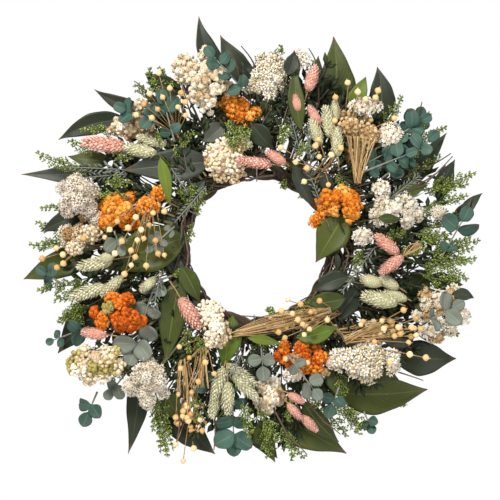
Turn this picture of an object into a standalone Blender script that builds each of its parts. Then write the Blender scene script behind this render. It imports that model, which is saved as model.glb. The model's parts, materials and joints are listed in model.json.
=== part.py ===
"""Harvest door wreath: a twisted vine ring dressed with dried leaves, flowers, pods and greens.

Metres, +Z up. The wreath faces -Y and its back lies against a door. The origin is the inside top
of the wire hanging loop, where a nail or hook carries the wreath. Everything is laid out from the
ring's centre, with x to the right and z up in millimetres, in one table for each kind of plant,
and each piece is then brought forward, in the order of the tables, until it clears the pieces
already laid.
"""
import math

import bmesh
import bpy
from mathutils import Euler, Matrix, Vector
from mathutils.bvhtree import BVHTree

MM = 0.001

# The vine ring
RING_RADIUS = 0.102
STRAND_OFFSET = 0.0108
STRAND_RADIUS = 0.0064
STRAND_COUNT = 3
STRAND_TURNS = 5
STRAND_POINTS = 54
BUNDLE_Y = -0.0205

# Wires
WIRE_RADIUS = 0.0008
WRAP_RADIUS = 0.0198
WRAP_POINTS = 22
EYE_POINTS = 14
EYE_RADIUS = 0.0032
EYE_TILT = math.radians(55.0)
LOOP_TOP_RADIUS = 0.014
LOOP_TOP_Z = 0.020
LOOP_HALF_WIDTH = 0.0085
LOOP_CORNER = 0.0025
TIE_ANGLES = (32.0, 151.0, 268.0)

# Hinge of the hanging loop, from the ring's centre
EYE_REACH = WRAP_RADIUS + EYE_RADIUS
HINGE_Y = BUNDLE_Y + EYE_REACH * math.cos(EYE_TILT)
HINGE_Z = RING_RADIUS + EYE_REACH * math.sin(EYE_TILT)
LOOP_INSIDE_TOP = LOOP_TOP_Z + LOOP_TOP_RADIUS - WIRE_RADIUS
CENTRE = Vector((0.0, -HINGE_Y, -HINGE_Z - LOOP_INSIDE_TOP))

# The bed of bound stalks and filler greens round the ring
BED_RADIUS = 0.1560
BED_HALF_WIDTH = 0.0325
BED_HALF_DEPTH = 0.0045
BED_SEGMENTS = 44
BED_LOBES = 7
BED_LOBE_SIZE = 0.004

# Laying the plants
LAY_STEP = 0.8 * MM
LAY_GAP = 0.5 * MM
LEAF_START_Y = -0.012
BED_START_Y = -0.024
BUNCH_START_Y = -0.026
SPRIG_START_Y = -0.028
CLUSTER_START_Y = -0.034
GRASS_START_Y = -0.036
RING_START_Y = BUNDLE_Y - WRAP_RADIUS - 0.002
RING_EDGE = RING_RADIUS + WRAP_RADIUS + 0.0012
MAX_LAY_STEPS = 120
MAX_CROSSINGS = 12
RAY_STEP = 0.01 * MM
FRONT = Vector((0.0, -1.0, 0.0))
LEAF_THICKNESS = 0.0011
LEAF_CUP = 0.10
STALK_SHARE = 0.06
ROUND_LEAF_THICKNESS = 0.0016
ROUND_LEAF_SEAT = 0.90
ROUND_LEAF_TILT = math.radians(14.0)
DOME_RATIO = 0.42
DOME_BASE = 0.006
STALKS_SHARE = 0.22
LEAF_STATIONS = 8
LEAF_COLUMNS = 4

COLOURS = {
    "vine": (0.20, 0.13, 0.09),
    "wire": (0.30, 0.30, 0.30),
    "leaf_dark": (0.060, 0.075, 0.050),
    "leaf_olive": (0.120, 0.140, 0.045),
    "leaf_bright": (0.220, 0.270, 0.060),
    "leaf_grey": (0.150, 0.170, 0.140),
    "orange": (0.85, 0.32, 0.06),
    "rust": (0.70, 0.20, 0.04),
    "cream": (0.80, 0.70, 0.52),
    "white": (0.82, 0.78, 0.70),
    "ash": (0.62, 0.56, 0.48),
    "flax": (0.72, 0.48, 0.24),
    "eucalyptus": (0.20, 0.30, 0.25),
    "silver_leaf": (0.40, 0.44, 0.38),
    "grass_head": (0.55, 0.56, 0.38),
    "greens": (0.25, 0.33, 0.09),
    "bed": (0.07, 0.08, 0.04),
}

# name, tip x z, base x z, width, forward arch, roll (degrees), material
LEAVES = (
    ("leaf_top_left", (-70, 284), (-32, 206), 33, 3, -8, "leaf_dark"),
    ("leaf_top_centre", (-43, 259), (0, 200), 38, 4, 6, "leaf_dark"),
    ("leaf_top_right", (95, 257), (94, 152), 46, 6, 0, "leaf_olive"),
    ("leaf_right_shoulder", (149, 221), (150, 152), 34, 4, 6, "leaf_dark"),
    ("leaf_left_upper", (-198, 195), (-130, 168), 24, 3, 0, "leaf_dark"),
    ("leaf_left_crescent", (-242, 135), (-158, 158), 28, 4, -6, "leaf_dark"),
    ("leaf_left_long", (-286, 91), (-165, 90), 23, 4, 0, "leaf_grey"),
    ("leaf_left_point", (-285, -37), (-200, -4), 37, 5, 4, "leaf_olive"),
    ("leaf_left_lower", (-243, -127), (-190, -58), 40, 5, 0, "leaf_dark"),
    ("leaf_lower_left_long", (-158, -249), (-148, -138), 27, 4, 0, "leaf_dark"),
    ("leaf_bottom_left", (-54, -252), (-118, -194), 38, 4, 4, "leaf_dark"),
    ("leaf_bottom_right", (107, -251), (14, -198), 46, 5, 0, "leaf_olive"),
    ("leaf_lower_right", (207, -175), (96, -179), 43, 6, 0, "leaf_olive"),
    ("leaf_right_curled", (243, -136), (166, -130), 40, 6, -4, "leaf_dark"),
    ("leaf_right_broad", (215, -26), (162, -84), 46, 5, 4, "leaf_olive"),
    ("leaf_right_long", (233, 140), (176, 70), 27, 4, 0, "leaf_dark"),
    ("leaf_inner_top_left", (-158, 95), (-53, 105), 41, 5, 0, "leaf_grey"),
    ("leaf_inner_left", (-190, -22), (-84, 14), 54, 5, 0, "leaf_olive"),
    ("leaf_inner_lower_left", (-110, -134), (-94, -34), 35, 5, 0, "leaf_olive"),
    ("leaf_inner_bottom", (-40, -145), (-29, -82), 31, 4, 0, "leaf_bright"),
    ("leaf_inner_right", (73, -15), (108, 44), 40, 4, 0, "leaf_olive"),
    ("leaf_inner_lower_right", (91, -94), (127, -44), 27, 4, 0, "leaf_dark"),
)

# name, stalk end x z, middle of the far end x z, far width, depth, material
BUNCHES = (
    ("greens_right", (196, -18), (268, 2), 62, 16, "greens"),
    ("greens_bottom_left", (-124, -176), (-109, -252), 36, 14, "greens"),
    ("flax_lower_left", (-88, -136), (-80, -232), 46, 22, "flax"),
    ("flax_upper_right", (119, 84), (124, 172), 46, 22, "flax"),
    ("flax_bottom", (-20, -102), (86, -80), 34, 20, "flax"),
    ("flax_lower_right", (90, -104), (196, -98), 44, 22, "flax"),
)

# name, stalk end x z, tip x z, leaf radius at the stalk end and at the tip, pairs of leaves, material
SPRIGS = (
    ("eucalyptus_upper_right", (160, 92), (199, 164), 14, 12, 4, "eucalyptus"),
    ("eucalyptus_lower_left", (-122, -40), (-150, -128), 12, 17, 3, "silver_leaf"),
    ("eucalyptus_bottom", (-30, -160), (-28, -236), 10, 18, 3, "eucalyptus"),
)

# name, stalk end x z, heads: middle x z, length, width; material
GRASSES = (
    ("grass_left", (-232, -46), (((-196, -20), 42, 17), ((-205, -52), 44, 17), ((-177, -46), 34, 15)),
     "grass_head"),
    ("grass_right", (182, -72), (((136, -40), 24, 19), ((156, -42), 26, 17), ((144, -62), 42, 21)),
     "grass_head"),
)

# name, middle x z, half width, half height, turn (degrees), material
CLUSTERS = (
    ("orange_top", (-25, 170), 36, 19, -28, "orange"),
    ("orange_left", (-163, 46), 39, 27, 12, "orange"),
    ("orange_lower_left", (-164, -78), 36, 27, -12, "rust"),
    ("orange_right", (105, 54), 33, 22, -12, "orange"),
    ("orange_bottom", (60, -132), 41, 23, -18, "rust"),
    ("cream_top_left", (-60, 197), 33, 33, 0, "cream"),
    ("cream_shoulder_left", (-150, 148), 35, 15, 6, "cream"),
    ("yarrow_top", (-37, 105), 27, 28, 0, "cream"),
    ("ashy_left", (-215, 63), 26, 30, 0, "ash"),
    ("cream_left", (-219, 15), 23, 18, 0, "cream"),
    ("cream_lower_left", (-193, -138), 38, 24, 8, "cream"),
    ("white_lower_left", (-131, -162), 29, 32, -10, "white"),
    ("yarrow_bottom", (-51, -92), 17, 34, 6, "cream"),
    ("cream_bottom", (15, -179), 23, 23, 0, "cream"),
    ("star_top", (14, 208), 26, 34, -12, "white"),
    ("star_lower_right", (134, -136), 46, 24, 0, "white"),
    ("ashy_right", (171, 47), 39, 26, 4, "ash"),
    ("white_right", (225, -78), 36, 38, -20, "white"),
)


def clear_scene():
    for obj in list(bpy.data.objects):
        bpy.data.objects.remove(obj, do_unlink=True)


def new_collection(name):
    collection = bpy.data.collections.new(name)
    bpy.context.scene.collection.children.link(collection)
    return collection


def new_material(name, roughness=0.75, metallic=0.0):
    material = bpy.data.materials.new(name)
    material.use_nodes = True
    shader = material.node_tree.nodes["Principled BSDF"]
    shader.inputs["Base Color"].default_value = (*COLOURS[name], 1.0)
    shader.inputs["Roughness"].default_value = roughness
    shader.inputs["Metallic"].default_value = metallic
    return material


def loose_object(name, data):
    """An object for the data in the wreath's collection, not yet placed."""
    obj = bpy.data.objects.new(name, data)
    PARTS.objects.link(obj)
    return obj


def add_object(name, data, material_name):
    """A finished piece: named, coloured and placed from the ring's centre."""
    obj = loose_object(name, data)
    data.materials.clear()
    data.materials.append(MATERIALS[material_name])
    obj.parent = RING_CENTRE
    return obj


def shaped_mesh(name, bm):
    """A smooth-shaded mesh from a bmesh."""
    mesh = bpy.data.meshes.new(name)
    bm.to_mesh(mesh)
    bm.free()
    mesh.shade_smooth()
    return mesh


def tube(name, points, radii, closed):
    """A round tube through the points, with a radius at each."""
    curve = bpy.data.curves.new(name, "CURVE")
    curve.dimensions = "3D"
    curve.bevel_depth = 1.0
    curve.bevel_resolution = 2
    curve.use_fill_caps = not closed
    spline = curve.splines.new("POLY")
    spline.points.add(len(points) - 1)
    for spline_point, place, radius in zip(spline.points, points, radii):
        spline_point.co = (*place, 1.0)
        spline_point.radius = radius
    spline.use_cyclic_u = closed
    return curve


def wire_loop(name, points):
    """A closed loop of wire."""
    return tube(name, points, [WIRE_RADIUS] * len(points), True)


def solid_copy(obj):
    """The object's evaluated shape, in place, as a mesh object that sits at zero."""
    depsgraph = bpy.context.evaluated_depsgraph_get()
    mesh = bpy.data.meshes.new_from_object(obj.evaluated_get(depsgraph))
    mesh.transform(obj.matrix_world)
    bm = bmesh.new()
    bm.from_mesh(mesh)
    bmesh.ops.remove_doubles(bm, verts=bm.verts, dist=0.01 * MM)
    bmesh.ops.recalc_face_normals(bm, faces=bm.faces)
    bm.to_mesh(mesh)
    bm.free()
    return loose_object(obj.name + "_solid", mesh)


def union(name, pieces, material_name):
    """One body from loose pieces that cross each other."""
    bpy.context.view_layer.update()
    solids = [solid_copy(piece) for piece in pieces]
    for piece in pieces:
        bpy.data.objects.remove(piece, do_unlink=True)
    body = solids[0]
    for other in solids[1:]:
        join = body.modifiers.new("join", "BOOLEAN")
        join.operation = "UNION"
        join.object = other
        bpy.context.view_layer.update()
        joined = solid_copy(body)
        bpy.data.objects.remove(body, do_unlink=True)
        bpy.data.objects.remove(other, do_unlink=True)
        body = joined
    mesh = body.data
    bpy.data.objects.remove(body, do_unlink=True)
    mesh.shade_smooth()
    return add_object(name, mesh, material_name)


# ---- the ring and its wires ----------------------------------------------------------------

def ring_point(clock, radius, depth):
    """A point at an angle from +X round the ring's centre."""
    return (radius * math.cos(clock), depth, radius * math.sin(clock))


def make_vine_strands():
    for index in range(STRAND_COUNT):
        phase = 2.0 * math.pi * index / STRAND_COUNT
        points = []
        for step in range(STRAND_POINTS):
            clock = 2.0 * math.pi * step / STRAND_POINTS
            twist = phase + STRAND_TURNS * clock
            radius = RING_RADIUS + STRAND_OFFSET * math.cos(twist)
            points.append(ring_point(clock, radius, BUNDLE_Y + STRAND_OFFSET * math.sin(twist)))
        name = f"vine_strand_{index + 1}"
        add_object(name, tube(name, points, [STRAND_RADIUS] * STRAND_POINTS, True), "vine")


def circle_angles(steps):
    return [2.0 * math.pi * step / steps for step in range(steps)]


def wrap_points(clock):
    """A circle round the vine bundle, square to it."""
    points = []
    for turn in circle_angles(WRAP_POINTS):
        radius = RING_RADIUS + WRAP_RADIUS * math.cos(turn)
        points.append(ring_point(clock, radius, BUNDLE_Y + WRAP_RADIUS * math.sin(turn)))
    return points


def make_tie_wires():
    for index, clock in enumerate(TIE_ANGLES):
        name = f"tie_wire_{index + 1}"
        add_object(name, wire_loop(name, wrap_points(math.radians(clock))), "wire")


def make_hanger_eye():
    """A wire round the bundle at the top, with a small eye that stands out of it at the back."""
    wrap = loose_object("wrap", wire_loop("wrap", wrap_points(0.5 * math.pi)))
    points = []
    for turn in circle_angles(EYE_POINTS):
        points.append((0.0, HINGE_Y + EYE_RADIUS * math.cos(turn), HINGE_Z + EYE_RADIUS * math.sin(turn)))
    eye = loose_object("eye", wire_loop("eye", points))
    union("hanger_eye", [wrap, eye], "wire")


def make_stem_bed():
    """The stalks and filler greens bound on round the ring: a flat ring with an uneven outer edge."""
    bpy.ops.mesh.primitive_torus_add(major_segments=BED_SEGMENTS, minor_segments=8,
                                     major_radius=BED_RADIUS, minor_radius=BED_HALF_WIDTH)
    torus = bpy.context.object
    mesh = torus.data
    for vert in mesh.vertices:
        radius = math.hypot(vert.co.x, vert.co.y)
        outer = max(0.0, (radius - BED_RADIUS) / BED_HALF_WIDTH)
        lobe = 1.0 + BED_LOBE_SIZE * outer * math.sin(BED_LOBES * math.atan2(vert.co.y, vert.co.x)) / radius
        vert.co = (vert.co.x * lobe, vert.co.y * lobe, vert.co.z * BED_HALF_DEPTH / BED_HALF_WIDTH)
    bpy.data.objects.remove(torus, do_unlink=True)
    mesh.shade_smooth()
    return add_object("stem_bed", mesh, "bed")


def arc(centre_x, centre_z, radius, start, end, steps):
    """Points on an arc in the XZ plane, angles in degrees."""
    angles = [math.radians(start + (end - start) * step / steps) for step in range(steps + 1)]
    return [(centre_x + radius * math.cos(a), 0.0, centre_z + radius * math.sin(a)) for a in angles]


def make_hang_loop():
    """The hanging loop about its hinge: a straight foot in the eye, and a round top."""
    points = arc(LOOP_HALF_WIDTH, LOOP_CORNER, LOOP_CORNER, -90, 0, 3)
    points += arc(0.0, LOOP_TOP_Z, LOOP_TOP_RADIUS, -20, 200, 16)
    points += arc(-LOOP_HALF_WIDTH, LOOP_CORNER, LOOP_CORNER, 180, 270, 3)
    points.append((0.0, 0.0, 0.0))
    loop = add_object("hang_loop", wire_loop("hang_loop", points), "wire")
    loop.location = (0.0, HINGE_Y, HINGE_Z)


# ---- shapes of the plants: along +X from the stalk, +Z towards the front -------------------

def leaf_half_width(share):
    """Half width along a leaf as a share of its widest: a stalk, a belly and a long tip."""
    blade = max(0.0, (share - STALK_SHARE) / (1.0 - STALK_SHARE))
    belly = math.sin(math.pi * min(1.0, blade) ** 0.85) ** 0.85 if blade < 1.0 else 0.0
    return max(0.035, belly * (1.0 - 0.30 * blade ** 4))


def make_leaf(name, length, width, arch, material_name):
    """A thin blade: a grid arched along its length and cupped across, with a thickness."""
    bm = bmesh.new()
    bmesh.ops.create_grid(bm, x_segments=LEAF_STATIONS, y_segments=LEAF_COLUMNS, size=0.5)
    for vert in bm.verts:
        share = vert.co.x + 0.5
        across = vert.co.y * 2.0
        half = 0.5 * width * leaf_half_width(share)
        lift = arch * math.sin(math.pi * share) + LEAF_CUP * half * across * across
        vert.co = (length * share, half * across, lift)
    leaf = add_object(name, shaped_mesh(name, bm), material_name)
    skin = leaf.modifiers.new("thickness", "SOLIDIFY")
    skin.thickness = LEAF_THICKNESS
    skin.offset = 0.0
    return leaf


def make_cluster(name, half_width, half_height, material_name):
    """A flower head: a lumpy dome in front, drawn in behind to where its stalks meet."""
    bm = bmesh.new()
    bmesh.ops.create_uvsphere(bm, u_segments=12, v_segments=8, radius=1.0)
    dome = DOME_RATIO * min(half_width, half_height) + DOME_BASE
    for vert in bm.verts:
        x, y, z = vert.co
        lump = 1.0 + 0.05 * math.sin(5.0 * x + 2.0 * y) * math.cos(4.0 * y - z)
        narrow = 1.0 + 0.45 * min(0.0, z)
        depth = dome * z if z > 0.0 else 0.55 * dome * z
        vert.co = (half_width * x * lump * narrow, half_height * y * lump * narrow, depth * lump)
    return add_object(name, shaped_mesh(name, bm), material_name)


def bunch_half_width(share):
    """Half width along a bunch of stalks: narrow where it is tied, fanned and round at its end."""
    fan = STALKS_SHARE + (1.0 - STALKS_SHARE) * min(1.0, share / 0.8) ** 2
    return fan * math.sqrt(max(0.0, 1.0 - max(0.0, (share - 0.75) / 0.25) ** 2))


def make_bunch(name, length, far_width, depth, material_name):
    """A bunch of fine stalks with their heads, as one body."""
    bm = bmesh.new()
    bmesh.ops.create_uvsphere(bm, u_segments=12, v_segments=9, radius=1.0)
    for vert in bm.verts:
        x, y, z = vert.co
        rim = math.hypot(x, y)
        share = 0.5 + 0.5 * z
        half = 0.5 * bunch_half_width(share) / rim if rim > 0.01 else 0.0
        vert.co = (length * share, far_width * half * y, -depth * half * x)
    return add_object(name, shaped_mesh(name, bm), material_name)


def make_sprig(name, length, first_radius, last_radius, pairs, material_name):
    """A stalk with pairs of round leaves, joined into one body."""
    stalk_points = [(0.0, 0.0, 0.0), (0.5 * length, 0.0, 0.0), (length, 0.0, 0.0)]
    pieces = [loose_object("stalk", tube("stalk", stalk_points, [0.0016, 0.0014, 0.0010], False))]
    for pair in range(pairs):
        along = length * (pair + 0.7) / pairs
        radius = first_radius + (last_radius - first_radius) * pair / (pairs - 1)
        for side in (-1, 1):
            bm = bmesh.new()
            bmesh.ops.create_cone(bm, cap_ends=True, segments=10, radius1=radius, radius2=radius,
                                  depth=ROUND_LEAF_THICKNESS)
            disc = loose_object("round_leaf", shaped_mesh("round_leaf", bm))
            seat = radius * ROUND_LEAF_SEAT
            disc.location = (along, side * seat * math.cos(ROUND_LEAF_TILT), seat * math.sin(ROUND_LEAF_TILT))
            disc.rotation_euler = (side * ROUND_LEAF_TILT, 0.0, 0.0)
            pieces.append(disc)
    return union(name, pieces, material_name)


def make_grass(name, stalk_end, heads, material_name):
    """Heads of grass whose stalks meet at one tie, joined into one body."""
    pieces = []
    for (middle_x, middle_z), length, width in heads:
        heading = math.atan2(middle_z - stalk_end[1], middle_x - stalk_end[0])
        distance = math.hypot(middle_z - stalk_end[1], middle_x - stalk_end[0])
        turn = Euler((0.0, 0.0, heading))
        bm = bmesh.new()
        bmesh.ops.create_uvsphere(bm, u_segments=10, v_segments=6, radius=0.5 * MM)
        head = loose_object("head", shaped_mesh("head", bm))
        head.scale = (length, width, 0.8 * width)
        head.rotation_euler = turn
        head.location = (middle_x - stalk_end[0]) * MM, (middle_z - stalk_end[1]) * MM, 0.0
        stalk = tube("stalk", [(0.0, 0.0, 0.0), (distance * MM, 0.0, 0.0)], [0.0016, 0.0012], False)
        stalk = loose_object("stalk", stalk)
        stalk.rotation_euler = turn
        pieces += [head, stalk]
    return union(name, pieces, material_name)


# ---- laying the plants on the ring ---------------------------------------------------------

def aim(obj, x, z, heading, roll=0.0):
    """Place a piece at x, z from the ring's centre, its +X along the heading and +Z to the front."""
    facing = Matrix(((1.0, 0.0, 0.0), (0.0, 0.0, -1.0), (0.0, 1.0, 0.0)))
    turn = Matrix.Rotation(heading, 3, "Z") @ Matrix.Rotation(roll, 3, "X")
    obj.rotation_euler = (facing @ turn).to_euler()
    obj.location.x = x
    obj.location.z = z


def world_shape(obj):
    """The piece's evaluated points and faces, from the ring's centre."""
    evaluated = obj.evaluated_get(bpy.context.evaluated_depsgraph_get())
    mesh = evaluated.to_mesh()
    place = obj.matrix_basis
    points = [place @ vert.co for vert in mesh.vertices]
    faces = [tuple(face.vertices) for face in mesh.polygons]
    evaluated.to_mesh_clear()
    return points, faces


def is_inside(tree, point):
    """True where a ray from the point to the front crosses the closed surface an odd number of times."""
    crossings = 0
    place = point
    while crossings < MAX_CROSSINGS:
        hit = tree.ray_cast(place, FRONT)[0]
        if hit is None:
            break
        crossings += 1
        place = hit + FRONT * RAY_STEP
    return crossings % 2 == 1


def is_clear(points, faces, laid):
    tree = BVHTree.FromPolygons(points, faces)
    for other_tree, other_point in laid:
        if tree.overlap(other_tree):
            return False
        if is_inside(other_tree, points[0]) or is_inside(tree, other_point):
            return False
    return True


def lay(obj, outer_start, laid):
    """Bring the piece forward from its start until it clears everything already laid."""
    bpy.context.view_layer.update()
    points, faces = world_shape(obj)
    over_ring = min(math.hypot(p.x, p.z) for p in points) < RING_EDGE
    start = (min(RING_START_Y, outer_start) if over_ring else outer_start) - max(p.y for p in points)
    for step in range(MAX_LAY_STEPS):
        forward = Vector((0.0, start - step * LAY_STEP, 0.0))
        if is_clear([p + forward for p in points], faces, laid):
            break
    forward.y -= LAY_GAP
    obj.location.y += forward.y
    placed = [p + forward for p in points]
    laid.append((BVHTree.FromPolygons(placed, faces), placed[0]))


def span(start, end):
    """Length and heading from one x, z point to another, both in millimetres."""
    along_x = (end[0] - start[0]) * MM
    along_z = (end[1] - start[1]) * MM
    return math.hypot(along_x, along_z), math.atan2(along_z, along_x)


def lay_leaves(laid):
    for name, tip, base, width, arch, roll, material_name in LEAVES:
        length, heading = span(base, tip)
        leaf = make_leaf(name, length, width * MM, arch * MM, material_name)
        aim(leaf, base[0] * MM, base[1] * MM, heading, math.radians(roll))
        lay(leaf, LEAF_START_Y, laid)


def lay_stem_bed(laid):
    bed = make_stem_bed()
    aim(bed, 0.0, 0.0, 0.0)
    bpy.context.view_layer.update()
    lay(bed, BED_START_Y, laid)


def lay_bunches(laid):
    for name, base, end, far_width, depth, material_name in BUNCHES:
        length, heading = span(base, end)
        bunch = make_bunch(name, length, far_width * MM, depth * MM, material_name)
        aim(bunch, base[0] * MM, base[1] * MM, heading)
        lay(bunch, BUNCH_START_Y, laid)


def lay_sprigs(laid):
    for name, base, end, first_radius, last_radius, pairs, material_name in SPRIGS:
        length, heading = span(base, end)
        sprig = make_sprig(name, length, first_radius * MM, last_radius * MM, pairs, material_name)
        aim(sprig, base[0] * MM, base[1] * MM, heading)
        lay(sprig, SPRIG_START_Y, laid)


def lay_clusters(laid):
    for name, middle, half_width, half_height, turn, material_name in CLUSTERS:
        cluster = make_cluster(name, half_width * MM, half_height * MM, material_name)
        aim(cluster, middle[0] * MM, middle[1] * MM, math.radians(turn))
        lay(cluster, CLUSTER_START_Y, laid)


def lay_grasses(laid):
    for name, base, heads, material_name in GRASSES:
        grass = make_grass(name, base, heads, material_name)
        aim(grass, base[0] * MM, base[1] * MM, 0.0)
        lay(grass, GRASS_START_Y, laid)


clear_scene()
PARTS = new_collection("harvest_door_wreath")
MATERIALS = {name: new_material(name) for name in COLOURS}
MATERIALS["wire"].node_tree.nodes["Principled BSDF"].inputs["Metallic"].default_value = 1.0
RING_CENTRE = bpy.data.objects.new("ring_centre", None)
RING_CENTRE.location = CENTRE
PARTS.objects.link(RING_CENTRE)

make_vine_strands()
make_tie_wires()
make_hanger_eye()
make_hang_loop()

laid_pieces = []
lay_leaves(laid_pieces)
lay_stem_bed(laid_pieces)
lay_bunches(laid_pieces)
lay_sprigs(laid_pieces)
lay_clusters(laid_pieces)
lay_grasses(laid_pieces)
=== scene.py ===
"""Looks for the harvest door wreath: every plant, the vine ring and its wires, built on the frame."""
import json
import math

import bpy
import numpy as np
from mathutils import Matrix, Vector


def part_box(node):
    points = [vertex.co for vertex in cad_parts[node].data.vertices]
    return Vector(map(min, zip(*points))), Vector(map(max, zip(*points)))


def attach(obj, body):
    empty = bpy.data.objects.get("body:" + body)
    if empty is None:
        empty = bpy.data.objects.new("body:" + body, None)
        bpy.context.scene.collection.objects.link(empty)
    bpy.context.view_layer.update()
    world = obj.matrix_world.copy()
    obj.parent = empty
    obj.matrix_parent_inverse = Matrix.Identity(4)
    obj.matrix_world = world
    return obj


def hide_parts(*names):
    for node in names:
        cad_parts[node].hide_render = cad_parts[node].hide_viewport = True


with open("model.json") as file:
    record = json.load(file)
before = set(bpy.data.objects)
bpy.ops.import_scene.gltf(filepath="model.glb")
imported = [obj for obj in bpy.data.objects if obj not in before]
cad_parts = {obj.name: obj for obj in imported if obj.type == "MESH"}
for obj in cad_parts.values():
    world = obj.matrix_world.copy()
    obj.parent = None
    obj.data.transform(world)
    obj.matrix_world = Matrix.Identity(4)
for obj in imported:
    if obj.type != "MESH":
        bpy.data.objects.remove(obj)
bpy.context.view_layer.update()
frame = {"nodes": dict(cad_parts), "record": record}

MM = 0.001

# The ring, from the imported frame
strand_boxes = [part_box(f"vine_strand_{index}") for index in (1, 2, 3)]
ring_low = np.min([np.array(low) for low, _ in strand_boxes], axis=0)
ring_high = np.max([np.array(high) for _, high in strand_boxes], axis=0)
RING_X, RING_Y, RING_Z = 0.5 * (ring_low + ring_high)
BUNDLE_RADIUS = 0.5 * (ring_high[1] - ring_low[1])
RING_RADIUS = 0.5 * (ring_high[0] - ring_low[0]) - BUNDLE_RADIUS
DOOR_Y = ring_high[1] + 0.0035
STRAND_SHARE = 0.372
STRAND_TURNS = 5

FRONT = np.array((0.0, -1.0, 0.0))
GOLDEN = math.pi * (3.0 - math.sqrt(5.0))
ANY_TURN = (0.0, 6.28)


def spot(x, z, forward):
    """A point in millimetres right of, above and forward of the ring's centre on the door."""
    return np.array((RING_X + x * MM, DOOR_Y - forward * MM, RING_Z + z * MM))


# ---- mesh building -------------------------------------------------------------------------

class Shape:
    """Points, triangles, quads and a tint for each point: random tone, share along, share across."""

    def __init__(self, points, tris=(), quads=(), tint=None):
        self.points = np.asarray(points, dtype=float).reshape(-1, 3)
        self.tris = np.asarray(tris, dtype=int).reshape(-1, 3)
        self.quads = np.asarray(quads, dtype=int).reshape(-1, 4)
        self.tint = np.zeros((len(self.points), 3)) if tint is None else np.asarray(tint, dtype=float)


def join(shapes):
    """One shape from several."""
    starts = np.cumsum([0] + [len(shape.points) for shape in shapes])
    return Shape(
        np.vstack([shape.points for shape in shapes]),
        np.vstack([shape.tris + start for shape, start in zip(shapes, starts)]),
        np.vstack([shape.quads + start for shape, start in zip(shapes, starts)]),
        np.vstack([shape.tint for shape in shapes]),
    )


def moved(shape, origin=(0, 0, 0), axes=None, scale=1.0, tone=None):
    """The shape turned by the axes (columns), scaled and moved."""
    axes = np.eye(3) if axes is None else np.asarray(axes)
    points = (shape.points * scale) @ axes.T + np.asarray(origin)
    tint = shape.tint.copy()
    if tone is not None:
        tint[:, 0] = tone
    return Shape(points, shape.tris, shape.quads, tint)


def scattered(shape, origins, axes, scales, tones):
    """Copies of one shape at many places; axes is one 3x3 matrix for each."""
    origins = np.asarray(origins)
    count = len(origins)
    points = np.einsum("kij,nj->kni", np.asarray(axes), shape.points)
    points = points * np.asarray(scales).reshape(-1, 1, 1) + origins[:, None, :]
    starts = (np.arange(count) * len(shape.points))[:, None, None]
    tint = np.repeat(shape.tint[None], count, axis=0)
    tint[:, :, 0] = np.asarray(tones).reshape(-1, 1)
    return Shape(points.reshape(-1, 3), (shape.tris[None] + starts).reshape(-1, 3),
                 (shape.quads[None] + starts).reshape(-1, 4), tint.reshape(-1, 3))


def unit(vector):
    vector = np.asarray(vector, dtype=float)
    return vector / max(1e-9, np.linalg.norm(vector))


def axes_along(along, normal):
    """Columns: X along, Z as near the normal as it can be, Y across."""
    x = unit(along)
    y = unit(np.cross(normal, x))
    return np.column_stack((x, y, np.cross(x, y)))


def axes_facing(normal, spin):
    """Columns: Z on the normal, X turned by the spin."""
    z = unit(normal)
    helper = np.array((0.0, 0.0, 1.0)) if abs(z[2]) < 0.9 else np.array((1.0, 0.0, 0.0))
    x = unit(np.cross(helper, z))
    y = np.cross(z, x)
    return np.column_stack((x * math.cos(spin) + y * math.sin(spin), y * math.cos(spin) - x * math.sin(spin), z))


def grid_quads(rows, columns):
    row, column = np.meshgrid(np.arange(rows), np.arange(columns), indexing="ij")
    first = (row * (columns + 1) + column).ravel()
    return np.column_stack((first, first + columns + 1, first + columns + 2, first + 1))


def blade(rows, columns, length, half_width, lift, thickness, sway=0.0):
    """A closed thin blade along +X: half_width(share), lift(share, across) and a sideways sway shape it."""
    share = np.linspace(0.0, 1.0, rows + 1)[:, None] * np.ones((1, columns + 1))
    across = np.ones((rows + 1, 1)) * np.linspace(-1.0, 1.0, columns + 1)[None, :]
    half = half_width(share)
    middle = 4.0 * sway * share * (1.0 - share)
    top = np.stack((length * share, half * across + middle, lift(share, across)), axis=-1).reshape(-1, 3)
    bottom = top - np.array((0.0, 0.0, thickness))
    count = len(top)
    upper = grid_quads(rows, columns)
    lower = upper[:, ::-1] + count
    low_side = np.arange(rows) * (columns + 1)
    high_side = low_side + columns
    near = np.arange(columns)
    far = near + rows * (columns + 1)
    step = columns + 1
    rim = np.vstack((
        np.column_stack((low_side + step, low_side, low_side + count, low_side + step + count)),
        np.column_stack((high_side, high_side + step, high_side + step + count, high_side + count)),
        np.column_stack((near, near + 1, near + 1 + count, near + count)),
        np.column_stack((far + 1, far, far + count, far + 1 + count)),
    ))
    tint = np.zeros((2 * count, 3))
    tint[:, 1] = np.tile(share.ravel(), 2)
    tint[:, 2] = np.tile(0.5 + 0.5 * across.ravel(), 2)
    return outward(Shape(np.vstack((top, bottom)), (), np.vstack((upper, lower, rim)), tint))


def petal(length, width, thickness, curl):
    """A small closed petal along +X: six points, eight faces."""
    points = ((0, 0, 0), (0.58 * length, 0.5 * width, 0.4 * curl), (length, 0, curl),
              (0.58 * length, -0.5 * width, 0.4 * curl), (0.5 * length, 0, 0.25 * curl + thickness),
              (0.5 * length, 0, 0.25 * curl - 0.5 * thickness))
    tris = ((0, 3, 4), (3, 2, 4), (2, 1, 4), (1, 0, 4), (0, 1, 5), (1, 2, 5), (2, 3, 5), (3, 0, 5))
    tint = ((0, 0, .5), (0, .6, 1), (0, 1, .5), (0, .6, 0), (0, .5, .5), (0, .5, .5))
    return Shape(points, tris, (), tint)


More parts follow.
